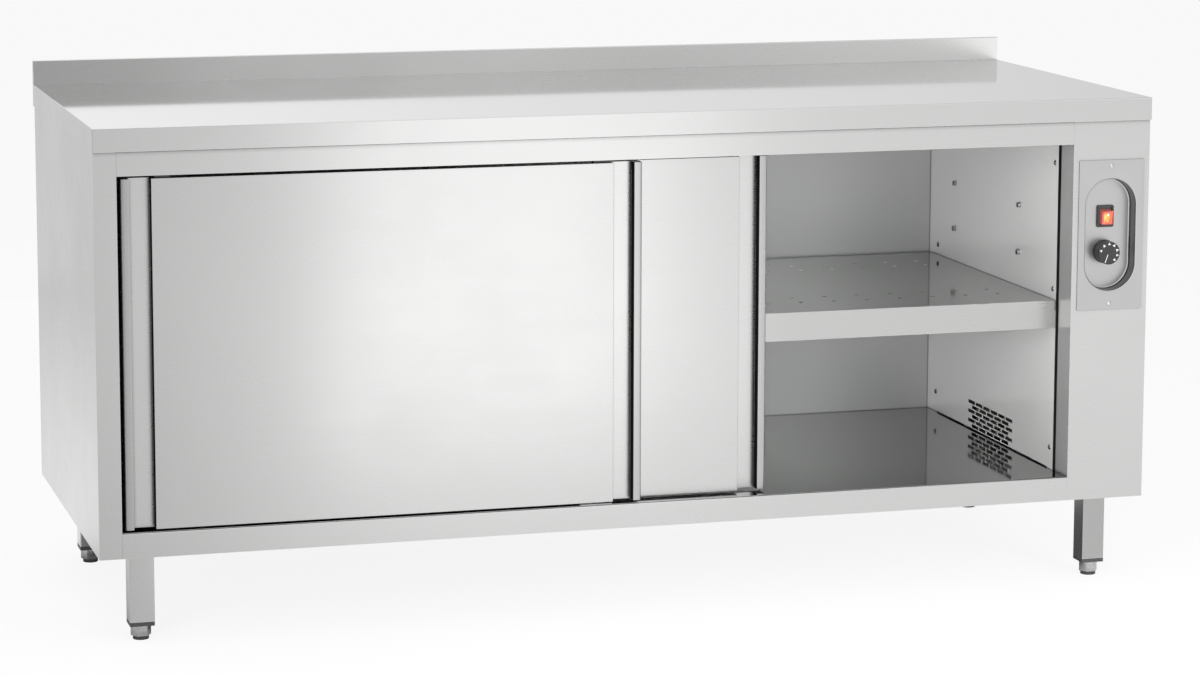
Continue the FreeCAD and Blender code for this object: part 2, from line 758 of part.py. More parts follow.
def make_door(side, left, face):
    """A folded front tray with a grip recess at each end, closed by a back sheet."""
    right = f"{left} + door_width"
    back = f"{face} + door_thickness"
    sheet_back = f"{back} - door_sheet"
    outer = block(side + "_door_outer", (left, right), (face, back), ("door_low", "door_high"))
    recesses = [block(f"{side}_door_recess_{end}", x, (f"{face} - overrun", f"{face} + grip_depth"),
                      ("door_low - overrun", "door_high + overrun")) for end, x in recess_spans(left, right)]
    pressed = cut(side + "_door_pressed", outer, *recesses)
    ends = rounded(side + "_door_ends", pressed, "grip_round",
                   lambda edge: is_door_corner(edge, left, right, face))
    lips = rounded(side + "_door_lips", ends, "grip_edge_round",
                   lambda edge: is_recess_edge(edge, left, right, face))
    hollow = block(side + "_door_hollow", (f"{left} + door_sheet", f"{right} - door_sheet"),
                   (f"{face} + door_sheet", f"{back} + overrun"),
                   ("door_low + door_sheet", "door_high - door_sheet"))
    soft_hollow = rounded(side + "_door_soft_hollow", hollow, "grip_inner_round",
                          lambda edge: is_hollow_corner(edge, left, right, face))
    pockets = [block(f"{side}_door_pocket_{end}", (f"({x[0]}) - door_sheet", f"({x[1]}) + door_sheet"),
                     (f"{face} - overrun", f"{face} + grip_depth + door_sheet"),
                     ("door_low - overrun", "door_high + overrun"))
               for end, x in recess_spans(left, right)]
    inside = cut(side + "_door_inside", soft_hollow, *pockets)
    slot = block(side + "_door_slot", (f"{left} + door_sheet", f"{right} - door_sheet"),
                 (f"{face} + grip_depth + door_sheet", sheet_back),
                 ("door_low - overrun", "door_low + door_sheet + overrun"))
    node(side + "_door_skin", cut(side + "_door_tray", lips, inside, slot))
    node(side + "_door_back", block(
        side + "_door_back_sheet", (f"{left} + door_sheet", f"{right} - door_sheet"), (sheet_back, back),
        ("door_low + door_sheet", "door_high - door_sheet")))
    make_running_gear(side, left, right, face)


def recess_spans(left, right):
    near_end = (f"{left} + grip_lip", f"{left} + grip_lip + grip_width")
    far_end = (f"{right} - grip_lip - grip_width", f"{right} - grip_lip")
    return ("left", near_end), ("right", far_end)


def is_upright(edge):
    return extent(edge, 2) > value("door_height") / 2


def is_door_corner(edge, left, right, face):
    x = spans(edge, 0)[0]
    return is_upright(edge) and at(spans(edge, 1)[0], face) and (at(x, left) or at(x, right))


def is_hollow_corner(edge, left, right, face):
    x = spans(edge, 0)[0]
    in_corner = at(x, f"{left} + door_sheet") or at(x, f"{right} - door_sheet")
    return is_upright(edge) and at(spans(edge, 1)[0], f"{face} + door_sheet") and in_corner


def is_recess_edge(edge, left, right, face):
    x = spans(edge, 0)[0]
    mouths = [side for _, span in recess_spans(left, right) for side in span]
    return is_upright(edge) and at(spans(edge, 1)[0], face) and any(at(x, mouth) for mouth in mouths)


def make_running_gear(side, left, right, face):
    """Two hangers on top of a door, each with a riveted axle and a roller."""
    hangers = []
    plate_y = f"{face} + roller_place + roller_width + axle_collar"
    for end, x in (("left", f"{left} + hanger_end_place"), ("right", f"{right} - hanger_end_place")):
        name = f"{side}_hanger_{end}"
        wide = (f"{x} - hanger_width / 2", f"{x} + hanger_width / 2")
        hangers.append(joined(
            name,
            block(name + "_foot", wide, (plate_y, f"{plate_y} + hanger_depth"),
                  ("door_high", "door_high + hanger_sheet")),
            block(name + "_plate", wide, (plate_y, f"{plate_y} + hanger_sheet"),
                  ("door_high", "door_high + hanger_height")),
            rod(name + "_axle", "y", "axle_diameter", x, f"{face} + roller_place - axle_play",
                "roller_height", "roller_width + axle_play + axle_collar"),
            rod(name + "_collar", "y", "axle_collar_diameter", x, f"{plate_y} - axle_collar + axle_play",
                "roller_height", "axle_collar - axle_play"),
            rod(name + "_head", "y", "axle_head_diameter", x,
                f"{face} + roller_place - axle_play - axle_head", "roller_height", "axle_head")))
        wheel = rod(f"{side}_wheel_{end}", "y", "roller_diameter", x, f"{face} + roller_place",
                    "roller_height", "roller_width")
        soft = rounded(f"{side}_wheel_edges_{end}", wheel, "roller_edge", is_ring, flat=True)
        bore = rod(f"{side}_wheel_bore_{end}", "y", "axle_diameter + 2 * running_clearance", x,
                   f"{face} + roller_place - overrun", "roller_height", "roller_width + 2 * overrun")
        node(f"{side}_door_roller_{end}", cut(f"{side}_roller_{end}", soft, bore))
    node(side + "_door_hangers", group(side + "_hangers", *hangers))


def is_ring(edge):
    return isinstance(edge.Curve, Part.Circle)


def make_track():
    """Hanging rail with one lipped channel for each door, welded under the top rail."""
    wide = ("opening_left", "opening_right")
    lip = ("track_lip_high - track_sheet", "track_lip_high")
    sheets = [block("track_roof", wide, ("front_door_face", "track_back"),
                    ("track_high - track_sheet", "track_high")),
              block("track_back_web", wide, ("track_back - track_sheet", "track_back"),
                    ("ceiling_low", "track_high"))]
    for lane, y in (("front", "front_door_face"), ("rear", "rear_door_face")):
        sheets.append(block(f"track_{lane}_web", wide, (y, f"{y} + track_sheet"),
                            ("track_lip_high - track_sheet", "track_high")))
        sheets.append(block(f"track_{lane}_lip", wide, (y, f"{y} + track_sheet + track_lip"), lip))
    node("door_track", joined("track", *sheets))


def make_centre_guide():
    """A plate on the deck with one nylon fin for the bottom slot of each door."""
    node("door_centre_guide", block(
        "guide_plate",
        ("guide_x - guide_length / 2", "guide_x + guide_length / 2"),
        ("front_door_face + guide_edge", "rear_door_face + door_thickness + guide_edge"),
        ("deck_high", "guide_seat")))
    fins = []
    for lane, face in (("front", "front_door_face"), ("rear", "rear_door_face")):
        middle = f"{face} + (grip_depth + door_thickness) / 2"
        wide = ("guide_x - guide_block_length / 2", "guide_x + guide_block_length / 2")
        fins.append(joined(
            f"{lane}_guide_block",
            block(f"{lane}_guide_foot", wide,
                  (f"{middle} - guide_foot_width / 2", f"{middle} + guide_foot_width / 2"),
                  ("guide_seat", "guide_seat + guide_foot_height")),
            block(f"{lane}_guide_fin", wide,
                  (f"{middle} - guide_block_sheet / 2", f"{middle} + guide_block_sheet / 2"),
                  ("guide_seat", "guide_seat + guide_height"))))
    node("door_guide_blocks", group("guide_block_pair", *fins))


def stadium(name, width, height, y):
    """An upright slot shape with round ends, centred on the control plate."""
    straight = block(
        name + "_straight",
        (f"plate_middle - ({width}) / 2", f"plate_middle + ({width}) / 2"),
        y,
        (f"plate_centre - ({height} - ({width})) / 2", f"plate_centre + ({height} - ({width})) / 2"))
    length = f"({y[1]}) - ({y[0]})"
    ends = [rod(f"{name}_end_{end}", "y", width, "plate_middle", y[0],
                f"plate_centre {sign} ({height} - ({width})) / 2", length)
            for end, sign in (("low", "-"), ("high", "+"))]
    return joined(name, straight, *ends)


def plate_screw_holes(name):
    return [rod(f"{name}_screw_hole_{end}", "y", "plate_screw_shank + 2 * running_clearance", "plate_middle",
                "plate_face - overrun", f"plate_centre {sign} plate_screw_reach",
                "plate_sheet + shell_sheet + 2 * overrun") for end, sign in (("low", "-"), ("high", "+"))]


def make_control_plate():
    """A plate with a cup pressed into it, whose bends keep the thickness of the sheet."""
    flat = block("plate_flat", ("plate_left", "plate_right"), ("plate_face", "body_front"),
                 ("plate_low", "plate_high"))
    outside = stadium("cup_outside", "cup_width + 2 * plate_sheet", "cup_height + 2 * plate_sheet",
                      ("plate_face", "cup_rear"))
    outer = joined("cup_and_plate", flat, outside)
    neck = rounded("cup_neck", outer, "cup_neck_round",
                   lambda edge: lies_at(edge, 1, "body_front") and is_cup_edge(edge))
    heel = rounded("cup_heel", neck, "cup_heel_round",
                   lambda edge: lies_at(edge, 1, "cup_rear") and is_cup_edge(edge))
    inside = stadium("cup_inside", "cup_width", "cup_height", ("plate_face - overrun", "cup_floor"))
    soft_inside = rounded("cup_soft_inside", inside, "cup_round", lambda edge: lies_at(edge, 1, "cup_floor"))
    hollowed = cut("cup_hollowed", heel, soft_inside)
    mouth = rounded("cup_mouth", hollowed, "cup_round",
                    lambda edge: lies_at(edge, 1, "plate_face") and is_cup_edge(edge))
    switch_hole = block("switch_hole",
                        ("plate_middle - switch_width / 2 - running_clearance",
                         "plate_middle + switch_width / 2 + running_clearance"),
                        ("cup_floor - overrun", "cup_rear + overrun"),
                        ("switch_centre - switch_height / 2 - running_clearance",
                         "switch_centre + switch_height / 2 + running_clearance"))
    neck_hole = rod("neck_hole", "y", "thermostat_neck_diameter + 2 * running_clearance", "plate_middle",
                    "cup_floor - overrun", "knob_centre", "plate_sheet + 2 * overrun")
    node("control_plate", cut("plate", mouth, switch_hole, neck_hole, *plate_screw_holes("plate")))
    screws = [joined(f"plate_screw_{end}",
                     rod(f"plate_screw_head_{end}", "y", "plate_screw_diameter", "plate_middle",
                         "plate_face - plate_screw_head", f"plate_centre {sign} plate_screw_reach",
                         "plate_screw_head"),
                     rod(f"plate_screw_shank_{end}", "y", "plate_screw_shank", "plate_middle", "plate_face",
                         f"plate_centre {sign} plate_screw_reach", "plate_screw_length"))
              for end, sign in (("low", "-"), ("high", "+"))]
    node("control_plate_screws", group("plate_screw_pair", *screws))


def is_cup_edge(edge):
    """True for the straights and arcs of the cup, false for the plate's own outline."""
    x_low, x_high = spans(edge, 0)
    z_low, z_high = spans(edge, 2)
    inside_x = x_low > value("plate_left") + TOUCH and x_high < value("plate_right") - TOUCH
    inside_z = z_low > value("plate_low") + TOUCH and z_high < value("plate_high") - TOUCH
    return inside_x and inside_z


def make_switch():
    """Housing clipped in the cup's floor, and a rocker on two trunnions, pressed at its lower end."""
    bezel = block("bezel", ("plate_middle - bezel_width / 2", "plate_middle + bezel_width / 2"),
                  ("bezel_face", "cup_floor"),
                  ("switch_centre - bezel_height / 2", "switch_centre + bezel_height / 2"))
    body = block("switch_body", ("plate_middle - switch_width / 2", "plate_middle + switch_width / 2"),
                 ("bezel_face", "cup_floor + switch_body_depth"),
                 ("switch_centre - switch_height / 2", "switch_centre + switch_height / 2"))
    cavity = block("switch_cavity",
                   ("plate_middle - rocker_width / 2 - switch_play",
                    "plate_middle + rocker_width / 2 + switch_play"),
                   ("bezel_face - overrun", "cup_floor + switch_body_depth - switch_floor"),
                   ("switch_centre - bezel_height / 2 + bezel_wall",
                    "switch_centre + bezel_height / 2 - bezel_wall"))
    bore = rod("rocker_bore", "x", "trunnion_diameter + 2 * running_clearance",
               "plate_middle - switch_width / 2 - overrun", "rocker_pivot", "switch_centre",
               "switch_width + 2 * overrun")
    housing = joined("switch_housing_solid", bezel, body)
    node("switch_housing", cut("switch_case", housing, cavity, bore))
    key = block("rocker_key", ("plate_middle - rocker_width / 2", "plate_middle + rocker_width / 2"),
                ("bezel_face - rocker_front", "rocker_pivot + rocker_reach"),
                ("switch_centre - rocker_height / 2", "switch_centre + rocker_height / 2"))
    soft_key = rounded("rocker_soft_key", key, "rocker_round",
                       lambda edge: at(spans(edge, 1)[0], "bezel_face - rocker_front"))
    trunnion = rod("rocker_trunnion", "x", "trunnion_diameter", "plate_middle - trunnion_length / 2",
                   "rocker_pivot", "switch_centre", "trunnion_length")
    level = joined("rocker_level", soft_key, trunnion)
    doc.recompute()
    pivot = FreeCAD.Vector(value("plate_middle"), value("rocker_pivot"), value("switch_centre"))
    pressed = level.Shape.copy()
    pressed.rotate(pivot, FreeCAD.Vector(1, 0, 0), value("rocker_angle"))
    node("switch_rocker", feature("rocker", pressed))


def make_knob():
    """Thermostat behind the cup, its shaft through the cup's floor, and the dial knob on the shaft."""
    y_skirt = "knob_rear - knob_skirt"
    skirt = rod("knob_skirt_disc", "y", "knob_diameter", "plate_middle", y_skirt, "knob_centre", "knob_skirt")
    grip = doc.addObject("Part::Cone", "knob_grip")
    grip.Placement = FreeCAD.Placement(FreeCAD.Vector(), TURNS["y"])
    grip.setExpression("Radius1", formula("knob_diameter / 2 - knob_taper"))
    grip.setExpression("Radius2", formula("knob_diameter / 2"))
    grip.setExpression("Height", formula("knob_height - knob_skirt"))
    set_place(grip, "plate_middle", "knob_face", "knob_centre")
    soft = rounded("knob_soft", joined("knob_solid", skirt, grip), "knob_edge",
                   lambda edge: is_ring(edge) and lies_at(edge, 1, "knob_face"))
    bore = rod("knob_bore", "y", "shaft_diameter + 2 * running_clearance", "plate_middle", "shaft_front",
               "knob_centre", "knob_rear - shaft_front + overrun")
    node("knob", cut("knob_bored", soft, bore))
    node("knob_shaft", rod("shaft", "y", "shaft_diameter", "plate_middle", "shaft_front", "knob_centre",
                           "shaft_back - shaft_front"))
    case = block("thermostat_case",
                 ("plate_middle - thermostat_side / 2", "plate_middle + thermostat_side / 2"),
                 ("cup_rear", "cup_rear + thermostat_depth"),
                 ("knob_centre - thermostat_side / 2", "knob_centre + thermostat_side / 2"))
    neck = rod("thermostat_neck", "y", "thermostat_neck_diameter", "plate_middle",
               "cup_floor - thermostat_neck_proud", "knob_centre",
               "thermostat_neck_proud + plate_sheet + shaft_seat / 2")
    seat = rod("thermostat_seat", "y", "shaft_diameter + 2 * running_clearance", "plate_middle",
               "cup_floor - thermostat_neck_proud - overrun", "knob_centre",
               "shaft_back - cup_floor + thermostat_neck_proud + overrun + rest_gap")
    node("thermostat", cut("thermostat_solid", joined("thermostat_body", case, neck), seat))


def make_blower():
    """Sheet duct around the heater, fixed to the far side of the grille, with the blower in it."""
    x = ("scroll_left", "scroll_right")
    y = ("scroll_front", "scroll_back")
    outer = block("scroll_outer", x, y, ("scroll_low", "scroll_high"))
    hollow = block("scroll_hollow", ("scroll_left - overrun", "scroll_right - scroll_sheet"),
                   ("scroll_front + scroll_sheet", "scroll_back - scroll_sheet"),
                   ("scroll_low + scroll_sheet", "scroll_high - scroll_sheet"))
    inlet = block("scroll_inlet_slot", ("wheel_x - scroll_inlet / 2", "wheel_x + scroll_inlet / 2"),
                  ("scroll_front + scroll_margin", "scroll_back - scroll_margin"),
                  ("scroll_high - scroll_sheet - overrun", "scroll_high + overrun"))
    shaft_hole = rod("scroll_shaft_hole", "y", "wheel_shaft_diameter + 2 * running_clearance", "wheel_x",
                     "scroll_front - overrun", "wheel_z", "scroll_back - scroll_front + 2 * overrun")
    tube_holes = [rod(f"scroll_tube_hole_{end}", "y", "element_tube_diameter + 2 * running_clearance",
                      "element_x", "scroll_front - overrun", f"wheel_z {sign} element_spacing / 2",
                      "scroll_sheet + 2 * overrun") for end, sign in (("low", "-"), ("high", "+"))]
    node("blower_scroll", cut("scroll", outer, hollow, inlet, shaft_hole, *tube_holes))
    node("blower_wheel", feature("wheel", wheel_shape()))
    motor = block("motor_block", ("wheel_x - motor_side / 2", "wheel_x + motor_side / 2"),
                  ("scroll_back", "scroll_back + motor_length"),
                  ("wheel_z - motor_side / 2", "wheel_z + motor_side / 2"))
    soft_motor = rounded("motor_soft", motor, "motor_edge",
                         lambda edge: extent(edge, 1) > TOUCH, flat=True)
    motor_bore = rod("motor_bore", "y", "wheel_shaft_diameter + 2 * running_clearance", "wheel_x",
                     "scroll_back - overrun", "wheel_z", "wheel_stub + rest_gap + overrun")
    node("blower_motor", cut("motor", soft_motor, motor_bore))
    node("heating_element", feature("element", element_shape()))


def wheel_shape():
    """A drum of straight blades between two discs, with a stub shaft at each end."""
    centre_x, centre_z = value("wheel_x"), value("wheel_z")
    start = value("scroll_front") + value("scroll_sheet") + value("wheel_play")
    end = value("scroll_back") - value("scroll_sheet") - value("wheel_play")
    disc = value("wheel_disc")
    along = FreeCAD.Vector(0, 1, 0)
    radius = value("wheel_diameter") / 2

    def spindle(thickness, y_low, y_high):
        return Part.makeCylinder(thickness, y_high - y_low, FreeCAD.Vector(centre_x, y_low, centre_z), along)

    shaft = value("wheel_shaft_diameter") / 2
    shape = spindle(radius, start, start + disc).fuse([
        spindle(radius, end - disc, end),
        spindle(shaft, value("scroll_front"), start + disc),
        spindle(shaft, end - disc, value("scroll_back") + value("wheel_stub"))])
    blades = []
    for step in range(WHEEL_BLADES):
        blade = Part.makeBox(value("wheel_blade"), end - start - disc, value("wheel_blade_depth"),
                             FreeCAD.Vector(centre_x - value("wheel_blade") / 2, start + disc / 2,
                                            centre_z + radius - value("wheel_blade_depth")
                                            - value("wheel_blade") / 2))
        blade.rotate(FreeCAD.Vector(centre_x, start, centre_z), along, 360 * step / WHEEL_BLADES)
        blades.append(blade)
    return shape.fuse(blades)


def element_shape():
    """A sheathed tube bent to a U, with plate fins brazed across both legs."""
    x, z = value("element_x"), value("wheel_z")
    tube = value("element_tube_diameter") / 2
    half = value("element_spacing") / 2
    start = value("scroll_front") - value("element_tail")
    bend = value("scroll_back") - value("scroll_sheet") - value("scroll_margin") - half - tube
    along = FreeCAD.Vector(0, 1, 0)
    legs = [Part.makeCylinder(tube, bend - start, FreeCAD.Vector(x, start, z + side * half), along)
            for side in (-1, 1)]
    ring = Part.makeTorus(half, tube, FreeCAD.Vector(x, bend, z), FreeCAD.Vector(1, 0, 0))
    reach = half + 2 * tube
    keep = Part.makeBox(2 * reach, reach, 2 * reach, FreeCAD.Vector(x - reach, bend, z - reach))
    shape = legs[0].fuse([legs[1], ring.common(keep)])
    fin_x, fin_z = value("element_fin_width"), value("element_fin_height")
    y = value("scroll_front") + value("scroll_sheet") + value("scroll_margin")
    fins = []
    while y + value("element_fin_sheet") < bend:
        fins.append(Part.makeBox(fin_x, value("element_fin_sheet"), fin_z,
                                 FreeCAD.Vector(x - fin_x / 2, y, z - fin_z / 2)))
        y += value("element_fin_pitch")
    return shape.fuse(fins)


def make_wiring_inlet():
    """Cable gland in the rear panel and the block that takes the mains wires."""
    flange = rod("gland_flange", "y", "gland_nut_diameter", "gland_x", "body_back", "gland_z",
                 "gland_outside")
    thread = rod("gland_thread", "y", "gland_thread_diameter", "gland_x", "inner_back - gland_inside",
                 "gland_z", "gland_inside + shell_sheet")
    bore = rod("gland_bore", "y", "gland_bore_diameter", "gland_x", "inner_back - gland_inside - overrun",
               "gland_z", "gland_inside + shell_sheet + gland_outside + 2 * overrun")
    nut = prism("gland_nut", "y", "gland_nut_diameter", "gland_x", "inner_back - gland_nut_height", "gland_z",
                "gland_nut_height")
    nut_bore = rod("gland_nut_bore", "y", "gland_thread_diameter + 2 * running_clearance", "gland_x",
                   "inner_back - gland_nut_height - overrun", "gland_z", "gland_nut_height + 2 * overrun")
    node("cable_gland", group("gland", cut("gland_body", joined("gland_solid", flange, thread), bore),
                              cut("gland_lock_nut", nut, nut_bore)))
    block_x = ("gland_x - terminal_length / 2", "gland_x + terminal_length / 2")
    block_y = ("worktop_back - terminal_back_place - terminal_width", "worktop_back - terminal_back_place")
    body = block("terminal_body", block_x, block_y, ("base_high", "base_high + terminal_height"))
    poles = [rod(f"terminal_pole_{pole}", "z", "terminal_bore_diameter",
                 f"gland_x + ({pole} + 0.5 - {TERMINAL_POLES} / 2) * terminal_length / {TERMINAL_POLES}",
                 "worktop_back - terminal_back_place - terminal_width / 2",
                 "base_high + terminal_height - terminal_bore_depth", "terminal_bore_depth + overrun")
             for pole in range(TERMINAL_POLES)]
    node("terminal_block", cut("terminal", body, *poles))


def leg_centres():
    left = "worktop_left + leg_end_inset + leg_side / 2"
    right = "worktop_right - leg_end_inset - leg_side / 2"
    front = "worktop_front + leg_front_inset + leg_side / 2"
    back = "worktop_back - leg_back_inset - leg_side / 2"
    return (("front_left", left, front), ("front_right", right, front),
            ("rear_left", left, back), ("rear_right", right, back))


def bolt_hole(name, x, y, z, length):
    return rod(name, "z", "leg_bolt_diameter + leg_bolt_clearance", x, y, z, length)


def square(name, x, y, side, z):
    """An upright square bar, centred on x and y."""
    return block(name, (f"{x} - ({side}) / 2", f"{x} + ({side}) / 2"),
                 (f"{y} - ({side}) / 2", f"{y} + ({side}) / 2"), z)


def make_legs():
    plates, bolts, nuts, inserts = [], [], [], []
    for corner, x, y in leg_centres():
        bar = square(f"leg_bar_{corner}", x, y, "leg_side", ("leg_low", "body_low"))
        soft = rounded(f"leg_soft_{corner}", bar, "leg_corner", lambda edge: extent(edge, 2) > TOUCH)
        hollow = square(f"leg_hollow_{corner}", x, y, "leg_side - 2 * leg_wall",
                        ("leg_low - overrun", "body_low - leg_cap"))
        node(f"leg_{corner}", cut(f"leg_tube_{corner}", soft, hollow, bolt_hole(
            f"leg_hole_{corner}", x, y, "body_low - leg_cap - overrun", "leg_cap + 2 * overrun")))
        plates.append(cut(f"leg_plate_{corner}", square(
            f"leg_plate_sheet_{corner}", x, y, "leg_plate_side", ("base_high", "leg_plate_high")), bolt_hole(
            f"leg_plate_hole_{corner}", x, y, "base_high - overrun", "leg_plate_sheet + 2 * overrun")))
        bolts.append(joined(
            f"leg_bolt_{corner}",
            prism(f"leg_bolt_head_{corner}", "z", "leg_nut_flats", x, y,
                  "body_low - leg_cap - leg_bolt_head", "leg_bolt_head"),
            rod(f"leg_bolt_shank_{corner}", "z", "leg_bolt_diameter", x, y, "body_low - leg_cap",
                "leg_plate_high + leg_nut_height + leg_bolt_end - body_low + leg_cap")))
        nuts.append(cut(f"leg_nut_{corner}", prism(
            f"leg_nut_hex_{corner}", "z", "leg_nut_flats", x, y, "leg_plate_high", "leg_nut_height"), rod(
            f"leg_nut_bore_{corner}", "z", "leg_bolt_diameter + 2 * running_clearance", x, y,
            "leg_plate_high - overrun", "leg_nut_height + 2 * overrun")))
        plug = joined(f"insert_{corner}",
                      rounded(f"insert_lip_{corner}",
                              square(f"insert_slab_{corner}", x, y, "leg_side", ("insert_low", "leg_low")),
                              "leg_corner", lambda edge: extent(edge, 2) > TOUCH),
                      square(f"insert_plug_{corner}", x, y, "leg_side - 2 * leg_wall - 2 * running_clearance",
                             ("leg_low", "leg_low + insert_plug")))
        inserts.append(cut(f"insert_bored_{corner}", plug, rod(
            f"insert_bore_{corner}", "z", "foot_stem_diameter + 2 * stem_clearance", x, y,
            "insert_low - overrun", "insert_lip + insert_plug + 2 * overrun")))
        make_foot(corner, x, y)
    node("leg_plates", group("leg_plate_set", *plates))
    node("leg_bolts", group("leg_bolt_set", *bolts))
    node("leg_nuts", group("leg_nut_set", *nuts))
    node("leg_inserts", group("leg_insert_set", *inserts))


def make_foot(corner, x, y):
    """A hexagon that turns the stem up or down, on a soft pad."""
    hexagon = rounded(f"foot_hex_{corner}", prism(
        f"foot_prism_{corner}", "z", "foot_hex_flats", x, y, "foot_pad_height", "foot_hex_height"),
        "foot_hex_edge", lambda edge: extent(edge, 2) < TOUCH, flat=True)
    stem = rod(f"foot_stem_{corner}", "z", "foot_stem_diameter", x, y, "foot_high", "foot_stem_length")
    node(f"foot_{corner}", joined(f"foot_solid_{corner}", hexagon, stem))
    pad = rod(f"pad_disc_{corner}", "z", "foot_pad_diameter", x, y, "0", "foot_pad_height")
    node(f"foot_pad_{corner}", rounded(f"pad_{corner}", pad, "foot_pad_edge",
                                       lambda edge: is_ring(edge) and at(spans(edge, 2)[0], "0")))


make_worktop()
make_shell()
make_rails()
make_deck()
make_liners()
make_partition()
make_wall_fasteners()
make_shelf()
make_track()
make_door("front", "front_door_left", "front_door_face")
make_door("rear", "rear_door_left", "rear_door_face")
make_centre_guide()
make_control_plate()
make_switch()
make_knob()
make_blower()
make_wiring_inlet()
make_legs()
doc.recompute()

failed = [item.Name for item in doc.Objects if {"Invalid", "Error"} & set(item.State)]
if failed:
    raise RuntimeError(f"objects that did not rebuild: {failed}")
for piece in nodes:
    if piece.Shape.isNull() or not piece.Shape.isValid():
        raise RuntimeError(f"{piece.Label} has no valid shape")

os.makedirs("parts", exist_ok=True)
for piece in nodes:
    piece.Shape.exportStep(f"parts/{piece.Label}.step")
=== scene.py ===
# %% [markdown]
# A plate warmer cabinet in satin stainless steel: a worktop with a low upstand at its back, two
# sliding doors, a middle shelf in a heated chamber, and a control compartment at the right.
# Everything here is thin bent sheet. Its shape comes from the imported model, which stays the
# measure of every place, and this file gives it edges, fasteners, a dial, a switch and finishes.

import json
import math

import bmesh
import bpy
from mathutils import Matrix, Vector


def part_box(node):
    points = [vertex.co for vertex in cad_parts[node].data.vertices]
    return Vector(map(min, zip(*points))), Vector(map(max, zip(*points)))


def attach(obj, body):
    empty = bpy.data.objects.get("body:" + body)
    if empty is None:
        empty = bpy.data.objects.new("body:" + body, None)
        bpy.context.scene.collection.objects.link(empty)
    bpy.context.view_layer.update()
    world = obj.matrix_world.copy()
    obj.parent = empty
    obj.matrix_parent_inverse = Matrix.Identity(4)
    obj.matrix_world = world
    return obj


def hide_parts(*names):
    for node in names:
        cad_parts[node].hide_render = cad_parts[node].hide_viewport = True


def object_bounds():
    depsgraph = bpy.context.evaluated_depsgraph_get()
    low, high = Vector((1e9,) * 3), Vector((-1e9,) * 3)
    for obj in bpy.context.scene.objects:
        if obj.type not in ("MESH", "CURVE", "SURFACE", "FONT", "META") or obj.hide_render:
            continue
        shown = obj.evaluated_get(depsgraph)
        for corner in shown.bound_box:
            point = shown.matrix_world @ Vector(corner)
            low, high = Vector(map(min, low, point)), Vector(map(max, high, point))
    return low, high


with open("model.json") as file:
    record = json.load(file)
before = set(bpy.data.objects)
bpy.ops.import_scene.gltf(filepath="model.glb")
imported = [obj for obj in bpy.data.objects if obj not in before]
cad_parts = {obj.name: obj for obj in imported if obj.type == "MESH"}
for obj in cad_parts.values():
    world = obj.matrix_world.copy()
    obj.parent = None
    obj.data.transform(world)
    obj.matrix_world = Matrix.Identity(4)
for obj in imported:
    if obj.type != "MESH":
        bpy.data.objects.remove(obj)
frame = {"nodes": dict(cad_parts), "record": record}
cad_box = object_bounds()
BODIES = {node: body for body, nodes in frame["record"]["behaviour"]["bodies"].items()
          for node in nodes}
SLOTS = {part["node"]: part["material_slot"] for part in frame["record"]["subparts"]}
CORNERS = ("front_left", "front_right", "rear_left", "rear_right")
MM = 0.001
X, Y, Z = range(3)
print("cabinet spans", [round(high - low, 3) for low, high in zip(*cad_box)], "m")

# %% [markdown]
# The photograph looks at the cabinet from the front left and a little from above. A long lens
# keeps the edges nearly parallel. The camera's place, turn and lens were fitted to the edges of
# the worktop, the body and the rails, so pieces fall where the photograph has them.

# %% Camera
YAW, PITCH, ROLL = math.radians(16.196), math.radians(8.353), math.radians(0.138)
CAMERA_PLACE = (-1.7178, -6.0081, 1.4935)


def placed(name, data):
    """A new object in the scene."""
    item = bpy.data.objects.new(name, data)
    bpy.context.scene.collection.objects.link(item)
    return item


camera_data = bpy.data.cameras.new("camera")
camera_data.sensor_width = 36.0
camera_data.lens = 109.66
camera_data.shift_y = -0.0813
camera_data.clip_end = 200.0
camera = placed("camera", camera_data)
ahead = Vector((math.sin(YAW) * math.cos(PITCH), math.cos(YAW) * math.cos(PITCH), -math.sin(PITCH)))
level = Vector((math.cos(YAW), -math.sin(YAW), 0.0))
upward = level.cross(ahead)
across = level * math.cos(ROLL) + upward * math.sin(ROLL)
over = upward * math.cos(ROLL) - level * math.sin(ROLL)
turn = Matrix((across, over, -ahead)).transposed().to_4x4()
camera.matrix_world = Matrix.Translation(CAMERA_PLACE) @ turn
bpy.context.scene.camera = camera
bpy.context.scene.view_settings.view_transform = "Standard"
print("camera looks", [round(part, 3) for part in ahead])

# %% [markdown]
# Polished sheet shows the room more than itself, so the room matters most. Two tall soft lamps
# in front give the broad bright band that runs down the doors, and soft lamps above and behind
# lift the worktop. The key lamp at the left lights the matt parts. It stays out of mirrors, and
# so do the two narrow lamps that light only the chamber, because the photograph mirrors none.

# %% Lamps
LAMPS = (
    # name, place (m), aim (m), width and height (m), power (W), spread (degrees), seen in mirrors
    ("front_lamp", (0.14, -1.64, 0.85), (0.14, 0.0, 0.85), (0.82, 1.7), 2.5, 180.0, True),
    ("wide_lamp", (0.75, -1.70, 0.85), (0.75, 0.0, 0.85), (2.1, 1.7), 1.8, 180.0, True),
    ("key_lamp", (-2.6, -3.4, 1.6), (0.76, 0.0, 0.5), (1.6, 1.6), 75.0, 180.0, False),
    ("top_lamp", (-0.6, -0.8, 3.6), (0.0, 0.0, 0.0), (4.0, 3.0), 30.0, 180.0, True),
    ("back_lamp", (-0.4, 3.2, 0.45), (-0.3, 0.0, 0.45), (1.8, 0.8), 1.4, 180.0, True),
    ("chamber_lamp_left", (-0.6, -3.2, 0.6), (0.79, 0.0, 0.35), (1.0, 1.0), 9.5, 60.0, False),
    ("chamber_lamp_right", (1.6, -3.2, 0.9), (0.35, 0.2, 0.45), (1.0, 1.0), 8.0, 60.0, False),
)
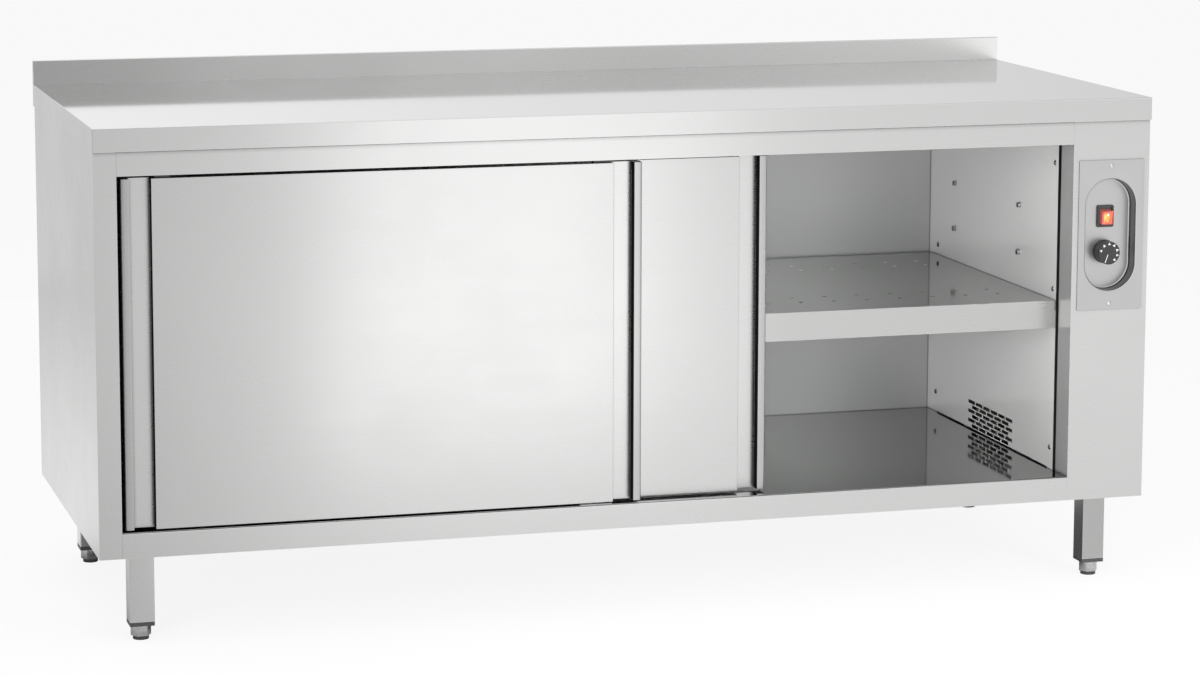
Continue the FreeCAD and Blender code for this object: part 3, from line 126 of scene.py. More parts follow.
for name, place, aim, size, power, spread, mirrored in LAMPS:
    lamp_data = bpy.data.lights.new(name, "AREA")
    lamp_data.shape = "RECTANGLE"
    lamp_data.size, lamp_data.size_y = size
    lamp_data.energy = power
    lamp_data.spread = math.radians(spread)
    lamp = placed(name, lamp_data)
    turned = (Vector(aim) - Vector(place)).to_track_quat("-Z", "Y").to_matrix().to_4x4()
    lamp.matrix_world = Matrix.Translation(place) @ turned
    lamp.visible_glossy = mirrored
print("lamps", len(LAMPS))

# %% [markdown]
# The sky, the floor and every finish are node trees that share a few steps, so each step is a
# function. One tells camera, mirrors and plain light apart. With it the room can be white to the
# camera and still give the mirrors the tones they show.

# %% Steps in a node tree


def fill(tree, socket, term):
    """Sets a socket to a number, or links it to another node's output."""
    if isinstance(term, float):
        socket.default_value = term
    else:
        tree.links.new(term, socket)


def combined(tree, operation, first, second):
    """One value made from two."""
    step = tree.nodes.new("ShaderNodeMath")
    step.operation = operation
    fill(tree, step.inputs[0], first)
    fill(tree, step.inputs[1], second)
    return step.outputs[0]


def ramp(tree, source, start, end, low, high, kind="SMOOTHSTEP"):
    """A value that runs from low to high as the source runs from start to end."""
    step = tree.nodes.new("ShaderNodeMapRange")
    step.interpolation_type = kind
    for socket, wanted in (("From Min", start), ("From Max", end), ("To Min", low), ("To Max", high)):
        step.inputs[socket].default_value = wanted
    tree.links.new(source, step.inputs["Value"])
    return step.outputs["Result"]


def axes_of(tree, kind, output):
    """The X, Y and Z of a node's vector."""
    split = tree.nodes.new("ShaderNodeSeparateXYZ")
    tree.links.new(tree.nodes.new(kind).outputs[output], split.inputs[0])
    return split.outputs


def by_ray(tree, looked_at, mirrored, landing):
    """A value that differs for the camera, for mirrors, and for light that only lands."""
    path = tree.nodes.new("ShaderNodeLightPath")
    straight = combined(tree, "MAXIMUM", path.outputs["Is Camera Ray"],
                        path.outputs["Is Transmission Ray"])
    found = landing
    for ray, wanted in ((path.outputs["Is Glossy Ray"], mirrored), (straight, looked_at)):
        mix = tree.nodes.new("ShaderNodeMix")
        tree.links.new(ray, mix.inputs["Factor"])
        fill(tree, mix.inputs["A"], found)
        fill(tree, mix.inputs["B"], wanted)
        found = mix.outputs["Result"]
    return found


# %% [markdown]
# The sky is one even white. Mirrors see it darken towards the right, like a grey screen that
# stands there, and light that only lands on pieces is weaker, so that their shades stay.

# %% Sky
world = bpy.data.worlds.new("pale_room")
bpy.context.scene.world = world
world.use_nodes = True
room = world.node_tree
room.nodes.clear()
to_right = axes_of(room, "ShaderNodeTexCoord", "Generated")[X]
right_screen = ramp(room, to_right, 0.6, 0.93, 1.0, 0.55)
sky = room.nodes.new("ShaderNodeBackground")
sky.inputs["Color"].default_value = (1.0, 1.0, 1.0, 1.0)
room.links.new(by_ray(room, 1.0, right_screen, 0.62), sky.inputs["Strength"])
sky_out = room.nodes.new("ShaderNodeOutputWorld")
room.links.new(sky.outputs[0], sky_out.inputs["Surface"])
print("sky", world.name)

# %% [markdown]
# The floor is a real plane, so the feet keep their soft contact shadows, but most of what the
# camera sees of it is plain glow that melts into the sky. Mirrors see other tones painted into its
# glow: darker at the left and far in front, bright behind the cabinet, and a painted shadow under
# it. From below it is clear, so that the underside can be looked at.

# %% Floor
FLOOR_HALF = 60.0
FRONT, BACK = cad_box[0][Y], cad_box[1][Y]
SHADOW_UNDER_CABINET = 0.12
floor_mesh = bpy.data.meshes.new("floor")
plane = bmesh.new()
bmesh.ops.create_grid(plane, x_segments=1, y_segments=1, size=FLOOR_HALF)
plane.to_mesh(floor_mesh)
plane.free()
floor = placed("floor", floor_mesh)
floor_finish = bpy.data.materials.new("pale_floor")
floor_finish.use_nodes = True
ground = floor_finish.node_tree
ground.nodes.clear()
spot = axes_of(ground, "ShaderNodeNewGeometry", "Position")


def tone(axis, start, end, low, high):
    """A tone that runs from low to high between two places along X or Y, in metres."""
    return ramp(ground, spot[axis], start, end, low, high)


def product(*terms):
    """The product of several tones."""
    found = terms[0]
    for term in terms[1:]:
        found = combined(ground, "MULTIPLY", found, term)
    return found


def mixed(share, first, second):
    """A shader between two shaders."""
    mix = ground.nodes.new("ShaderNodeMixShader")
    for socket, term in zip(mix.inputs, (share, first, second)):
        ground.links.new(term, socket)
    return mix.outputs[0]


in_front = product(tone(X, -1.0, -0.2, 0.80, 1.21), tone(Y, -5.6, -4.3, 0.82, 1.0))
behind = product(tone(Y, 0.0, 0.5, 0.0, 1.13), tone(Y, 0.3, 4.2, 1.0, 0.68))
# A painted shadow: the floor's glow in mirrors drops over the cabinet's footprint.
below = product(tone(X, -1.0, -0.75, 0.0, 1.0), tone(X, 0.75, 1.0, 1.0, 0.0),
                tone(Y, FRONT - 0.05, FRONT + 0.15, 0.0, 1.0),
                tone(Y, BACK - 0.10, BACK + 0.15, 1.0, 0.0))
mirrored_floor = product(combined(ground, "MAXIMUM", in_front, behind),
                         ramp(ground, below, 0.0, 1.0, 1.0, SHADOW_UNDER_CABINET))
lit = ground.nodes.new("ShaderNodeBsdfDiffuse")
lit.inputs["Color"].default_value = (0.93, 0.93, 0.93, 1.0)
glow = ground.nodes.new("ShaderNodeEmission")
glow.inputs["Color"].default_value = (1.0, 1.0, 1.0, 1.0)
ground.links.new(by_ray(ground, 1.0, mirrored_floor, 1.0), glow.inputs["Strength"])
from_above = mixed(by_ray(ground, 0.86, 1.0, 0.0), lit.outputs[0], glow.outputs[0])
floor_shader = mixed(ground.nodes.new("ShaderNodeNewGeometry").outputs["Backfacing"], from_above,
                     ground.nodes.new("ShaderNodeBsdfTransparent").outputs[0])
ground_out = ground.nodes.new("ShaderNodeOutputMaterial")
ground.links.new(floor_shader, ground_out.inputs["Surface"])
floor.data.materials.append(floor_finish)
print("floor", 2 * FLOOR_HALF, "m wide")

# %% [markdown]
# Every finish here starts from the same few nodes: a principled shader, coordinates in metres,
# noise at several sizes, and a bump. A small recipe class keeps them short to write. It lays the
# nodes and their links, and the finishes below only say what they mix.

# %% Recipe for finishes


class Finish:
    """A node material that is written in a few calls."""

    def __init__(self, name, colour, metallic, roughness):
        self.material = bpy.data.materials.new(name)
        self.material.use_nodes = True
        self.tree = self.material.node_tree
        self.shader = self.tree.nodes["Principled BSDF"]
        self.set("Base Color", (*colour, 1.0))
        self.set("Metallic", metallic)
        self.set("Roughness", roughness)
        self.place = self.add("ShaderNodeTexCoord")

    def add(self, kind, **facts):
        """A new node with some of its settings."""
        node = self.tree.nodes.new(kind)
        for fact, wanted in facts.items():
            setattr(node, fact, wanted)
        return node

    def set(self, socket, wanted):
        """Sets one of the shader's own values."""
        self.shader.inputs[socket].default_value = wanted

    def link(self, source, target):
        """Joins an output to an input."""
        self.tree.links.new(source, target)

    def where(self, scale=(1.0, 1.0, 1.0)):
        """Object coordinates, stretched."""
        mapping = self.add("ShaderNodeMapping")
        mapping.inputs["Scale"].default_value = scale
        self.link(self.place.outputs["Object"], mapping.inputs["Vector"])
        return mapping.outputs["Vector"]

    def noise(self, vector, size, detail=2.0, rough=0.5):
        """Noise between 0 and 1, with about size features to the metre."""
        cloud = self.add("ShaderNodeTexNoise")
        cloud.inputs["Scale"].default_value = size
        cloud.inputs["Detail"].default_value = detail
        cloud.inputs["Roughness"].default_value = rough
        self.link(vector, cloud.inputs["Vector"])
        return cloud.outputs["Fac"]

    def ranged(self, source, low, high, start=0.3, end=0.7):
        """A value that runs straight from low to high as the source runs from start to end."""
        return ramp(self.tree, source, start, end, low, high, "LINEAR")

    def math(self, operation, first, second):
        """One value made from two."""
        return combined(self.tree, operation, first, second)

    def tint(self, share, first, second):
        """A colour between two colours, of which the first may come from a node."""
        mix = self.add("ShaderNodeMix", data_type="RGBA")
        colour_a, colour_b = mix.inputs[6], mix.inputs[7]
        if isinstance(first, tuple):
            colour_a.default_value = (*first, 1.0)
        else:
            self.link(first, colour_a)
        colour_b.default_value = (*second, 1.0)
        self.link(share, mix.inputs[0])
        return mix.outputs[2]

    def bump(self, height, depth):
        """Normals that follow a height, with the depth in metres."""
        relief = self.add("ShaderNodeBump")
        relief.inputs["Distance"].default_value = depth
        self.link(height, relief.inputs["Height"])
        return relief.outputs["Normal"]

    def edges(self, radius):
        """1 on sharp edges and corners, 0 on flats."""
        soft = self.add("ShaderNodeBevel", samples=4)
        soft.inputs["Radius"].default_value = radius
        plain = self.add("ShaderNodeNewGeometry")
        dot = self.add("ShaderNodeVectorMath", operation="DOT_PRODUCT")
        self.link(soft.outputs["Normal"], dot.inputs[0])
        self.link(plain.outputs["Normal"], dot.inputs[1])
        return self.ranged(dot.outputs["Value"], 1.0, 0.0, 0.9, 0.995)

    def corners(self, reach):
        """1 in the open, 0 deep in a seam or an inner corner."""
        shade = self.add("ShaderNodeAmbientOcclusion", samples=4)
        shade.inputs["Distance"].default_value = reach
        return shade.outputs["AO"]


def grey(level):
    """A colour without a hue."""
    return (level, level, level)


print("recipe ready")

# %% [markdown]
# Satin stainless is brushed: a belt leaves thousands of fine lines that all run one way, along
# the length of each sheet. Up close they are lines, from afar they only widen each reflection
# across them. The lines here are noise stretched 100 times along the sheet. A photographed
# texture could do it too, but noise has no seams and no set size. Hands and cleaning leave broad
# soft patches in the roughness. Sharp folds and edges get a painted highlight, a paler colour,
# and seams and inner corners get painted shade, a darker colour where an occlusion node finds them.
#
# All sheets are one steel, but each mirrors its own part of the room. Where this plain room can't
# give a sheet the tone it has in the photograph, that tone is painted into the sheet's colour, in
# some as a fade along X: these colours are painted reflections, light and shade.

# %% Brushed steel
ACROSS_LINES, ALONG_LINES = 900.0, 9.0
LINES = {
    "x": (ALONG_LINES, ACROSS_LINES, ACROSS_LINES),
    "y": (ACROSS_LINES, ALONG_LINES, ACROSS_LINES),
    "z": (ACROSS_LINES, ACROSS_LINES, ALONG_LINES),
}
SATIN_ROUGH, SATIN_DEPTH, SATIN_EDGE_HIGHLIGHT = 0.27, 0.001 * MM, 0.75
MIRROR_DEPTH = 0.0003 * MM
# How far the painted shade in seams and inner corners reaches.
INNER_SHADE_REACH, TIGHT_SHADE_REACH = 3 * MM, 0.5 * MM


def brushed_steel(name, colour, along, roughness=SATIN_ROUGH, depth=SATIN_DEPTH, edge_highlight=0.3, metallic=1.0,
                  corner_shade_reach=8 * MM, right_colour=None, fades=(-0.3, 0.9)):
    """Steel with lines along one axis, or along Y on faces that look along X.

    Its colour turns into right_colour between the two places on X in fades."""
    unease = roughness / SATIN_ROUGH
    steel = Finish(name, colour, metallic, roughness)
    lines = steel.noise(steel.where(LINES[along]), 1.0, 3.0, 0.6)
    if along == "x":
        ends = steel.noise(steel.where(LINES["y"]), 1.0, 3.0, 0.6)
        facing = axes_of(steel.tree, "ShaderNodeTexCoord", "Normal")[X]
        sideways = steel.math("GREATER_THAN", steel.math("ABSOLUTE", facing, 0.0), 0.7)
        chosen = steel.add("ShaderNodeMix")
        for socket, term in (("Factor", sideways), ("A", lines), ("B", ends)):
            steel.link(term, chosen.inputs[socket])
        lines = chosen.outputs["Result"]
    patches = steel.noise(steel.where(), 5.0, 3.0, 0.6)
    smears = steel.noise(steel.where((2.0, 9.0, 9.0)), 3.0, 2.0, 0.5)
    gloss = roughness
    for source, low, high in ((patches, -0.02, 0.025), (lines, -0.009, 0.009), (smears, -0.008, 0.008)):
        gloss = steel.math("ADD", gloss, steel.ranged(source, low * unease, high * unease))
    steel.link(gloss, steel.shader.inputs["Roughness"])
    if right_colour:
        to_right = axes_of(steel.tree, "ShaderNodeTexCoord", "Object")[X]
        shade = steel.tint(steel.ranged(to_right, 0.0, 1.0, *fades), colour, right_colour)
    else:
        darker = tuple(part * 0.993 for part in colour)
        brighter = tuple(min(1.0, part * 1.005) for part in colour)
        shade = steel.tint(steel.ranged(lines, 0.0, 1.0), darker, brighter)
    # Sharp edges and folds take a paler colour here: a painted highlight.
    painted_edge_highlight = steel.tint(steel.math("MULTIPLY", steel.edges(1 * MM), edge_highlight), shade, (0.82, 0.82, 0.81))
    # Seams and inner corners turn near black where the occlusion node finds them: painted shade.
    painted_corner_shade = steel.ranged(steel.corners(corner_shade_reach), 0.96, 0.0, 0.33, 0.92)
    steel.link(steel.tint(painted_corner_shade, painted_edge_highlight, grey(0.05)), steel.shader.inputs["Base Color"])
    steel.link(steel.bump(lines, depth), steel.shader.inputs["Normal"])
    return steel.material


SATIN = (0.525, 0.527, 0.522)
satin = brushed_steel("satin_steel", SATIN, "x", edge_highlight=SATIN_EDGE_HIGHLIGHT)
satin_upright = brushed_steel("satin_steel_upright", SATIN, "z", edge_highlight=SATIN_EDGE_HIGHLIGHT)
# These colours and their fades along X are painted reflections: the upstand grows paler to the right, and
# the worktop, the bright liners and the shelf top grow darker.
upstand_sheet = brushed_steel("upstand_steel", (0.37, 0.372, 0.368), "x", edge_highlight=SATIN_EDGE_HIGHLIGHT,
                              corner_shade_reach=TIGHT_SHADE_REACH, right_colour=(0.76, 0.76, 0.755))
worktop_sheet = brushed_steel("worktop_steel", (0.66, 0.662, 0.657), "x", 0.06, MIRROR_DEPTH, SATIN_EDGE_HIGHLIGHT,
                              corner_shade_reach=TIGHT_SHADE_REACH, right_colour=(0.15, 0.151, 0.149),
                              fades=(-0.9, 0.9))
bright = brushed_steel("bright_liner_steel", (0.50, 0.505, 0.50), "x", 0.07, MIRROR_DEPTH,
                       corner_shade_reach=INNER_SHADE_REACH, right_colour=(0.16, 0.162, 0.16), fades=(0.35, 0.75))
rear_sheet = brushed_steel("matt_liner_steel", (0.34, 0.344, 0.34), "x", 0.40, metallic=0.6,
                           corner_shade_reach=INNER_SHADE_REACH)
plate_sheet = brushed_steel("plate_steel", (0.47, 0.472, 0.469), "x", 0.36, 2 * SATIN_DEPTH,
                            corner_shade_reach=2 * MM)
shelf_top_sheet = brushed_steel("shelf_top_steel", (0.62, 0.625, 0.62), "x", 0.07, MIRROR_DEPTH,
                                corner_shade_reach=INNER_SHADE_REACH, right_colour=(0.18, 0.182, 0.18),
                                fades=(0.35, 0.75))
# The shelf front, the cup wall, the door lips and the front right leg are darker copies of the satin
# steel, and the jamb a paler, more diffuse one: painted shade and painted light.
shelf_sheet = brushed_steel("shelf_front_steel", (0.455, 0.457, 0.452), "x", edge_highlight=SATIN_EDGE_HIGHLIGHT)
cup_sheet = brushed_steel("cup_wall_steel", grey(0.16), "z", 0.30, edge_highlight=0.2)
wall_sheet = brushed_steel("end_wall_steel", (0.95, 0.95, 0.94), "z", 0.12, MIRROR_DEPTH, metallic=0.5,
                           corner_shade_reach=INNER_SHADE_REACH)
lip_sheet = brushed_steel("door_lip_steel", (0.41, 0.412, 0.408), "z", edge_highlight=SATIN_EDGE_HIGHLIGHT)
jamb_sheet = brushed_steel("jamb_steel", (0.50, 0.50, 0.495), "z", 0.20, 0.5 * SATIN_DEPTH, metallic=0.55)
right_leg_sheet = brushed_steel("right_leg_steel", (0.375, 0.377, 0.373), "z", edge_highlight=SATIN_EDGE_HIGHLIGHT)
print("steel finishes", sum("steel" in finish.name for finish in bpy.data.materials))

# %% [markdown]
# Zinc plate is thinner and duller than stainless, with a faint blue cast and a cloudy skin. The
# heater's fins are plain rolled aluminium. Most of these pieces are small and hidden, so one
# recipe with other numbers is enough, and the turned heads further below use it too.

# %% Zinc and heater metal


def cloudy_metal(name, light, dark, roughness, size, ring=None):
    """Metal with soft clouds in its colour and gloss, and painted shade in a dark ring where it meets a
    sheet.
    """
    metal = Finish(name, light, 1.0, roughness)
    clouds = metal.noise(metal.where(), size, 4.0, 0.6)
    fine = metal.noise(metal.where(), size * 12.0)
    skin = metal.tint(metal.ranged(clouds, 0.0, 1.0), dark, light)
    if ring:
        # Painted shade: an occlusion node darkens the metal where it meets a sheet.
        skin = metal.tint(metal.ranged(metal.corners(ring), 1.0, 0.0, 0.35, 0.8), skin, grey(0.02))
    metal.link(skin, metal.shader.inputs["Base Color"])
    metal.link(metal.ranged(clouds, roughness - 0.05, roughness + 0.07), metal.shader.inputs["Roughness"])
    metal.link(metal.bump(fine, 0.02 * MM), metal.shader.inputs["Normal"])
    return metal.material


zinc = cloudy_metal("zinc_plate", (0.66, 0.67, 0.69), (0.54, 0.56, 0.59), 0.36, 140.0)
# This dark zinc is painted shade, for the door hangers and the blower scroll, which sit in shadow.
zinc_in_painted_shade = cloudy_metal("zinc_in_painted_shade", (0.15, 0.15, 0.155), (0.10, 0.10, 0.105), 0.45, 140.0)
heater_fins = cloudy_metal("rolled_aluminium", (0.72, 0.72, 0.70), (0.62, 0.62, 0.60), 0.32, 90.0)
print("metals", zinc.name, zinc_in_painted_shade.name, heater_fins.name)

# %% [markdown]
# Moulded plastics are dark and even, but never flat: the mould leaves a fine pebble, thin edges
# take a paler colour as a painted highlight, and a knob that is turned all day is polished where
# fingers touch it. The board under the worktop is pressed from chips, so it mixes pale and brown
# flakes.

# %% Plastics, rubber and board


def moulded(name, colour, roughness, pebble, depth, paler=0.05):
    """Plastic or rubber with a fine pebble and a painted highlight of paler edges."""
    plastic = Finish(name, colour, 0.0, roughness)
    grainy = plastic.noise(plastic.where(), pebble, 3.0, 0.6)
    broad = plastic.noise(plastic.where(), 60.0)
    plastic.link(plastic.ranged(broad, roughness - 0.06, roughness + 0.08),
                 plastic.shader.inputs["Roughness"])
    lifted = tuple(part + paler for part in colour)
    # Thin edges take a paler colour: a painted highlight.
    painted_edge_highlight = plastic.math("MULTIPLY", plastic.edges(0.6 * MM), 0.7)
    plastic.link(plastic.tint(painted_edge_highlight, colour, lifted), plastic.shader.inputs["Base Color"])
    plastic.link(plastic.bump(grainy, depth), plastic.shader.inputs["Normal"])
    return plastic


knob_black = moulded("knob_black", grey(0.013), 0.42, 2600.0, 0.06 * MM, 0.04).material
switch_black = moulded("switch_black", grey(0.018), 0.22, 1800.0, 0.01 * MM, 0.03).material
nylon = moulded("natural_nylon", (0.78, 0.78, 0.74), 0.45, 1200.0, 0.02 * MM, 0.06).material
insert_black = moulded("insert_black", grey(0.035), 0.5, 1500.0, 0.05 * MM).material
pad_black = moulded("pad_rubber", grey(0.03), 0.72, 1100.0, 0.09 * MM, 0.03).material
gland_grey = moulded("gland_grey", (0.30, 0.31, 0.32), 0.5, 1500.0, 0.04 * MM).material
print_white = moulded("print_white", grey(0.80), 0.5, 1500.0, 0.01 * MM, 0.0).material
print_grey = moulded("print_grey", grey(0.44), 0.5, 1500.0, 0.01 * MM, 0.0).material
# A black that stands for shadow, not for a part: painted shadow in the door grips' hollows, along the end
# walls' front flanges and inside the grille's slots.
dark_line = moulded("dark_line", grey(0.008), 0.6, 1500.0, 0.02 * MM, 0.0)
dark_line.set("Specular IOR Level", 0.0)
painted_shadow_black = dark_line.material

board = Finish("chip_board", (0.60, 0.48, 0.33), 0.0, 0.8)
flakes = board.noise(board.where((1.0, 1.0, 2.0)), 260.0, 4.0, 0.7)
board.link(board.tint(board.ranged(flakes, 0.0, 1.0), (0.46, 0.34, 0.21), (0.70, 0.58, 0.42)),
           board.shader.inputs["Base Color"])
board.link(board.bump(flakes, 0.3 * MM), board.shader.inputs["Normal"])
print("plastics and board", knob_black.name, switch_black.name, board.material.name)

# %% [markdown]
# The rocker is clear red plastic with a lamp behind its middle. The lit window is brightest and
# most yellow on its left, where the lamp sits, and the rim around it stays a paler, duller red.
# A real lamp inside a clear block would be slow and noisy, so the glow is painted as emission
# that fades by distance from the lamp's place.

# %% Lit red plastic


def lit_red(name, deep, glow_colour, strength, lamp_place=None, reach=11 * MM):
    """Clear red plastic, with a glow that fades from the lamp's place where one is given."""
    red = Finish(name, deep, 0.0, 0.22)
    streaks = red.noise(red.where((1.0, 1.0, 0.35)), 420.0)
    red.link(red.bump(streaks, 0.02 * MM), red.shader.inputs["Normal"])
    red.set("Coat Weight", 0.3)
    red.set("Coat Roughness", 0.1)
    red.set("Emission Strength", strength)
    if lamp_place is None:
        red.set("Emission Color", (*glow_colour, 1.0))
        red.link(red.tint(red.ranged(streaks, 0.0, 1.0), deep, tuple(part * 0.8 for part in deep)),
                 red.shader.inputs["Base Color"])
        return red.material
    gap = red.add("ShaderNodeVectorMath", operation="DISTANCE")
    gap.inputs[1].default_value = lamp_place
    red.link(red.place.outputs["Object"], gap.inputs[0])
    uneven = red.math("ADD", gap.outputs["Value"], red.ranged(streaks, -1.2 * MM, 1.2 * MM))
    near = red.ranged(uneven, 1.0, 0.0, 1 * MM, reach)
    red.link(red.tint(near, (0.70, 0.035, 0.01), glow_colour), red.shader.inputs["Emission Color"])
    return red.material


rocker_red = lit_red("rocker_red", (0.34, 0.07, 0.06), (0.60, 0.12, 0.09), 0.24)
print("red plastic", rocker_red.name)

# %% [markdown]
# Each CAD node gets the finish of its material slot. All but the fan wheel and the heater are
# replaced further below by a copy with finer edges.

# %% Hand every CAD node its finish
FINISHES = {
    "satin_stainless": satin,
    "liner_stainless": bright,
    "zinc_steel": zinc,
    "heater_metal": heater_fins,
    "core_board": board.material,
    "knob_black": knob_black,
    "switch_black": switch_black,
    "switch_red": rocker_red,
    "nylon": nylon,
    "insert_black": insert_black,
    "pad_black": pad_black,
    "gland_grey": gland_grey,
}
for node, item in frame["nodes"].items():
    item.data.materials.clear()
    item.data.materials.append(FINISHES[SLOTS[node]])
print("finished", len(frame["nodes"]), "nodes")

# %% [markdown]
# A sheet's cut edge is never a true corner: shears and bends leave a small round, and that
# round is what catches light and shows the sheet's thickness. The CAD sheets have their large
# bends but sharp rims. A copy of each is merged from loose triangles into whole faces, and a
# live bevel rounds every sharp edge. Bevelling by hand would mean hundreds of picked edges.
#
# Smooth shading bends the mirror image on a flat sheet near its folds. The large flats that
# mirror something sharp therefore take their normals by area, so that they mirror like flats.

# %% Round the sheets' rims
MERGE = 0.005 * MM
SAME_PLANE, SHARP = math.radians(0.4), math.radians(30.0)
THIN = 3.2 * MM
MIRRORS = {"worktop", "middle_shelf", "floor_deck", "partition_wall", "rear_liner", "left_liner",
           "ceiling_liner"}


def merged(node):
    """A bmesh of a node with its loose triangles joined into whole faces."""
    work = bmesh.new()
    work.from_mesh(frame["nodes"][node].data)
    bmesh.ops.remove_doubles(work, verts=work.verts, dist=MERGE)
    bmesh.ops.dissolve_limit(work, angle_limit=SAME_PLANE, verts=work.verts, edges=work.edges)
    return work


def finished(name, work, body, material, smooth=35.0, others=()):
    """Turns a bmesh into a piece that rides on a body, with other finishes on marked faces."""
    mesh = bpy.data.meshes.new(name)
    work.to_mesh(mesh)
    work.free()
    for face in mesh.polygons:
        face.use_smooth = True
    mesh.set_sharp_from_angle(angle=math.radians(smooth))
    for finish in (material, *others):
        mesh.materials.append(finish)
    piece = placed(name, mesh)
    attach(piece, body)
    return piece


def is_thin(face):
    """True for the narrow face along a sheet's cut edge."""
    longest = max(edge.calc_length() for edge in face.edges)
    return face.calc_area() / longest < THIN


def rim_rounded(node, width, material=None, fold=1.0, others=()):
    """A copy of a node with live bevels on its sharp edges: a fold takes more than a cut rim.

    Each of the others is a finish and a test that picks its faces."""
    slot = SLOTS[node]
    work = merged(node)
    low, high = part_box(node)
    for face in work.faces:
        for number, (_, chosen) in enumerate(others, 1):
            if chosen(face, low, high):
                face.material_index = number
    weights = []
    for edge in work.edges:
        if len(edge.link_faces) != 2 or edge.calc_face_angle(0.0) <= SHARP:
            weights.append(0.0)
        elif edge.is_convex and not any(is_thin(face) for face in edge.link_faces):
            weights.append(1.0)
        else:
            weights.append(1.0 / fold)
    piece = finished(node + "_sheet", work, BODIES[node], material or FINISHES[slot],
                     others=[finish for finish, _ in others])
    layer = piece.data.attributes.new("bevel_weight_edge", "FLOAT", "EDGE")
    layer.data.foreach_set("value", weights)
    bevel = piece.modifiers.new("rim", "BEVEL")
    bevel.width = width * fold
    bevel.segments = 2
    bevel.limit_method = "WEIGHT"
    if node in MIRRORS:
        level_shading = piece.modifiers.new("level_shading", "WEIGHTED_NORMAL")
        level_shading.keep_sharp = True
        level_shading.weight = 100
    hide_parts(node)
    return piece


# %% [markdown]
# One sheet can look different in two places, because its faces look at different things. Here
# that difference is painted: the tests below pick the faces that take painted shadow or a painted
# tone, such as the walls of a door's grip recess or the cut faces in the grille's slots, which are
# painted black. They measure from the box of the piece, so they follow the imported model.

# %% Faces with a finish of their own
FACING = 0.9


def between(face, low, high, axis, margin):
    """True for a face whose middle is further than the margin from both ends of the piece."""
    return low[axis] + margin < face.calc_center_median()[axis] < high[axis] - margin


def in_grip(face, low, high):
    """The two side walls of a door's grip recess."""
    reaches_front = min(vert.co.y for vert in face.verts) < low.y + 3 * MM
    return between(face, low, high, X, 6 * MM) and abs(face.normal.x) > FACING and reaches_front


def on_lip(face, low, high):
    """The narrow front of a door outside its grip recess."""
    middle = face.calc_center_median()
    at_end = middle.x < low.x + 14 * MM or middle.x > high.x - 14 * MM
    return at_end and middle.y < low.y + 6 * MM


def on_front_flange(face, low, high):
    """The narrow front edge of an end wall."""
    return on_front(face, low, high) and face.calc_center_median().y < low.y + 1 * MM


def in_slot(face, low, high):
    """The cut faces inside a sheet's slots and holes."""
    within = all(between(face, low, high, axis, 20 * MM) for axis in (Y, Z))
    return within and abs(face.normal.x) < 0.5


def on_jamb(face, low, high):
    """The side of a post that looks into the opening."""
    deep = max(vert.co.y for vert in face.verts) - low.y
    return abs(face.normal.x) > FACING and 40 * MM < deep < 80 * MM


def on_cup_wall(face, low, high):
    """The wall of the pressed cup round the controls."""
    within = between(face, low, high, X, 8 * MM) and between(face, low, high, Z, 20 * MM)
    return within and abs(face.normal.y) < 0.6


def on_top(face, low, high):
    """Faces that look up."""
    return face.normal.z > FACING


def on_front(face, low, high):
    """Faces that look to the front."""
    return face.normal.y < -FACING


def on_upstand(face, low, high):
    """The front of the worktop's upstand."""
    return on_front(face, low, high) and min(vert.co.z for vert in face.verts) > high.z - 50 * MM


DOOR_FACES = ((painted_shadow_black, in_grip), (lip_sheet, on_lip))
PART_FINISHES = {
    "front_door_skin": DOOR_FACES,
    "rear_door_skin": DOOR_FACES,
    "partition_wall": ((painted_shadow_black, on_front_flange), (painted_shadow_black, in_slot)),
    "left_liner": ((painted_shadow_black, on_front_flange),),
    "control_front_panel": ((jamb_sheet, on_jamb),),
    "left_side_panel": ((jamb_sheet, on_jamb),),
    "control_plate": ((cup_sheet, on_cup_wall),),
    "worktop": ((upstand_sheet, on_upstand), (worktop_sheet, on_top)),
    "middle_shelf": ((shelf_top_sheet, on_top), (shelf_sheet, on_front)),
}
print("pieces with more than one finish", len(PART_FINISHES))

# %% [markdown]
# Every sheet and block takes a rim of its own width, in millimetres. The outer folds round the
# opening are bent with a larger radius than a cut edge has, so theirs is three times as wide.

# %% Sheets and blocks with rounded rims
SHEET_RIMS = {
    "worktop": 0.35, "left_side_panel": 0.35, "right_side_panel": 0.35, "control_front_panel": 0.35,
    "rear_panel": 0.3, "base_panel": 0.3, "top_front_rail": 0.35, "bottom_front_rail": 0.35,
    "floor_deck": 0.3, "left_liner": 0.3, "rear_liner": 0.3, "ceiling_liner": 0.3,
    "partition_wall": 0.25, "middle_shelf": 0.3, "shelf_stiffener": 0.3, "front_door_skin": 0.25,
    "rear_door_skin": 0.25, "front_door_hangers": 0.3, "rear_door_hangers": 0.3, "door_track": 0.3,
    "door_centre_guide": 0.3, "control_plate": 0.3,
}
INNER_RIMS = {
    "leg_inserts": 0.4, "cable_gland": 0.6, "leg_plates": 0.4, "leg_bolts": 0.3, "leg_nuts": 0.3,
    "door_guide_blocks": 0.4, "terminal_block": 0.4, "blower_scroll": 0.3, "blower_motor": 0.3,
    "thermostat": 0.4, "knob_shaft": 0.2, "front_door_back": 0.25, "rear_door_back": 0.25,
    "worktop_board": 0.6,
}
FOLDED = {"left_side_panel", "control_front_panel", "top_front_rail", "bottom_front_rail"}
WHOLE_FINISHES = {
    "rear_liner": rear_sheet, "partition_wall": wall_sheet, "left_liner": wall_sheet,
    "control_plate": plate_sheet, "front_door_hangers": zinc_in_painted_shade, "rear_door_hangers": zinc_in_painted_shade,
    "blower_scroll": zinc_in_painted_shade,
}
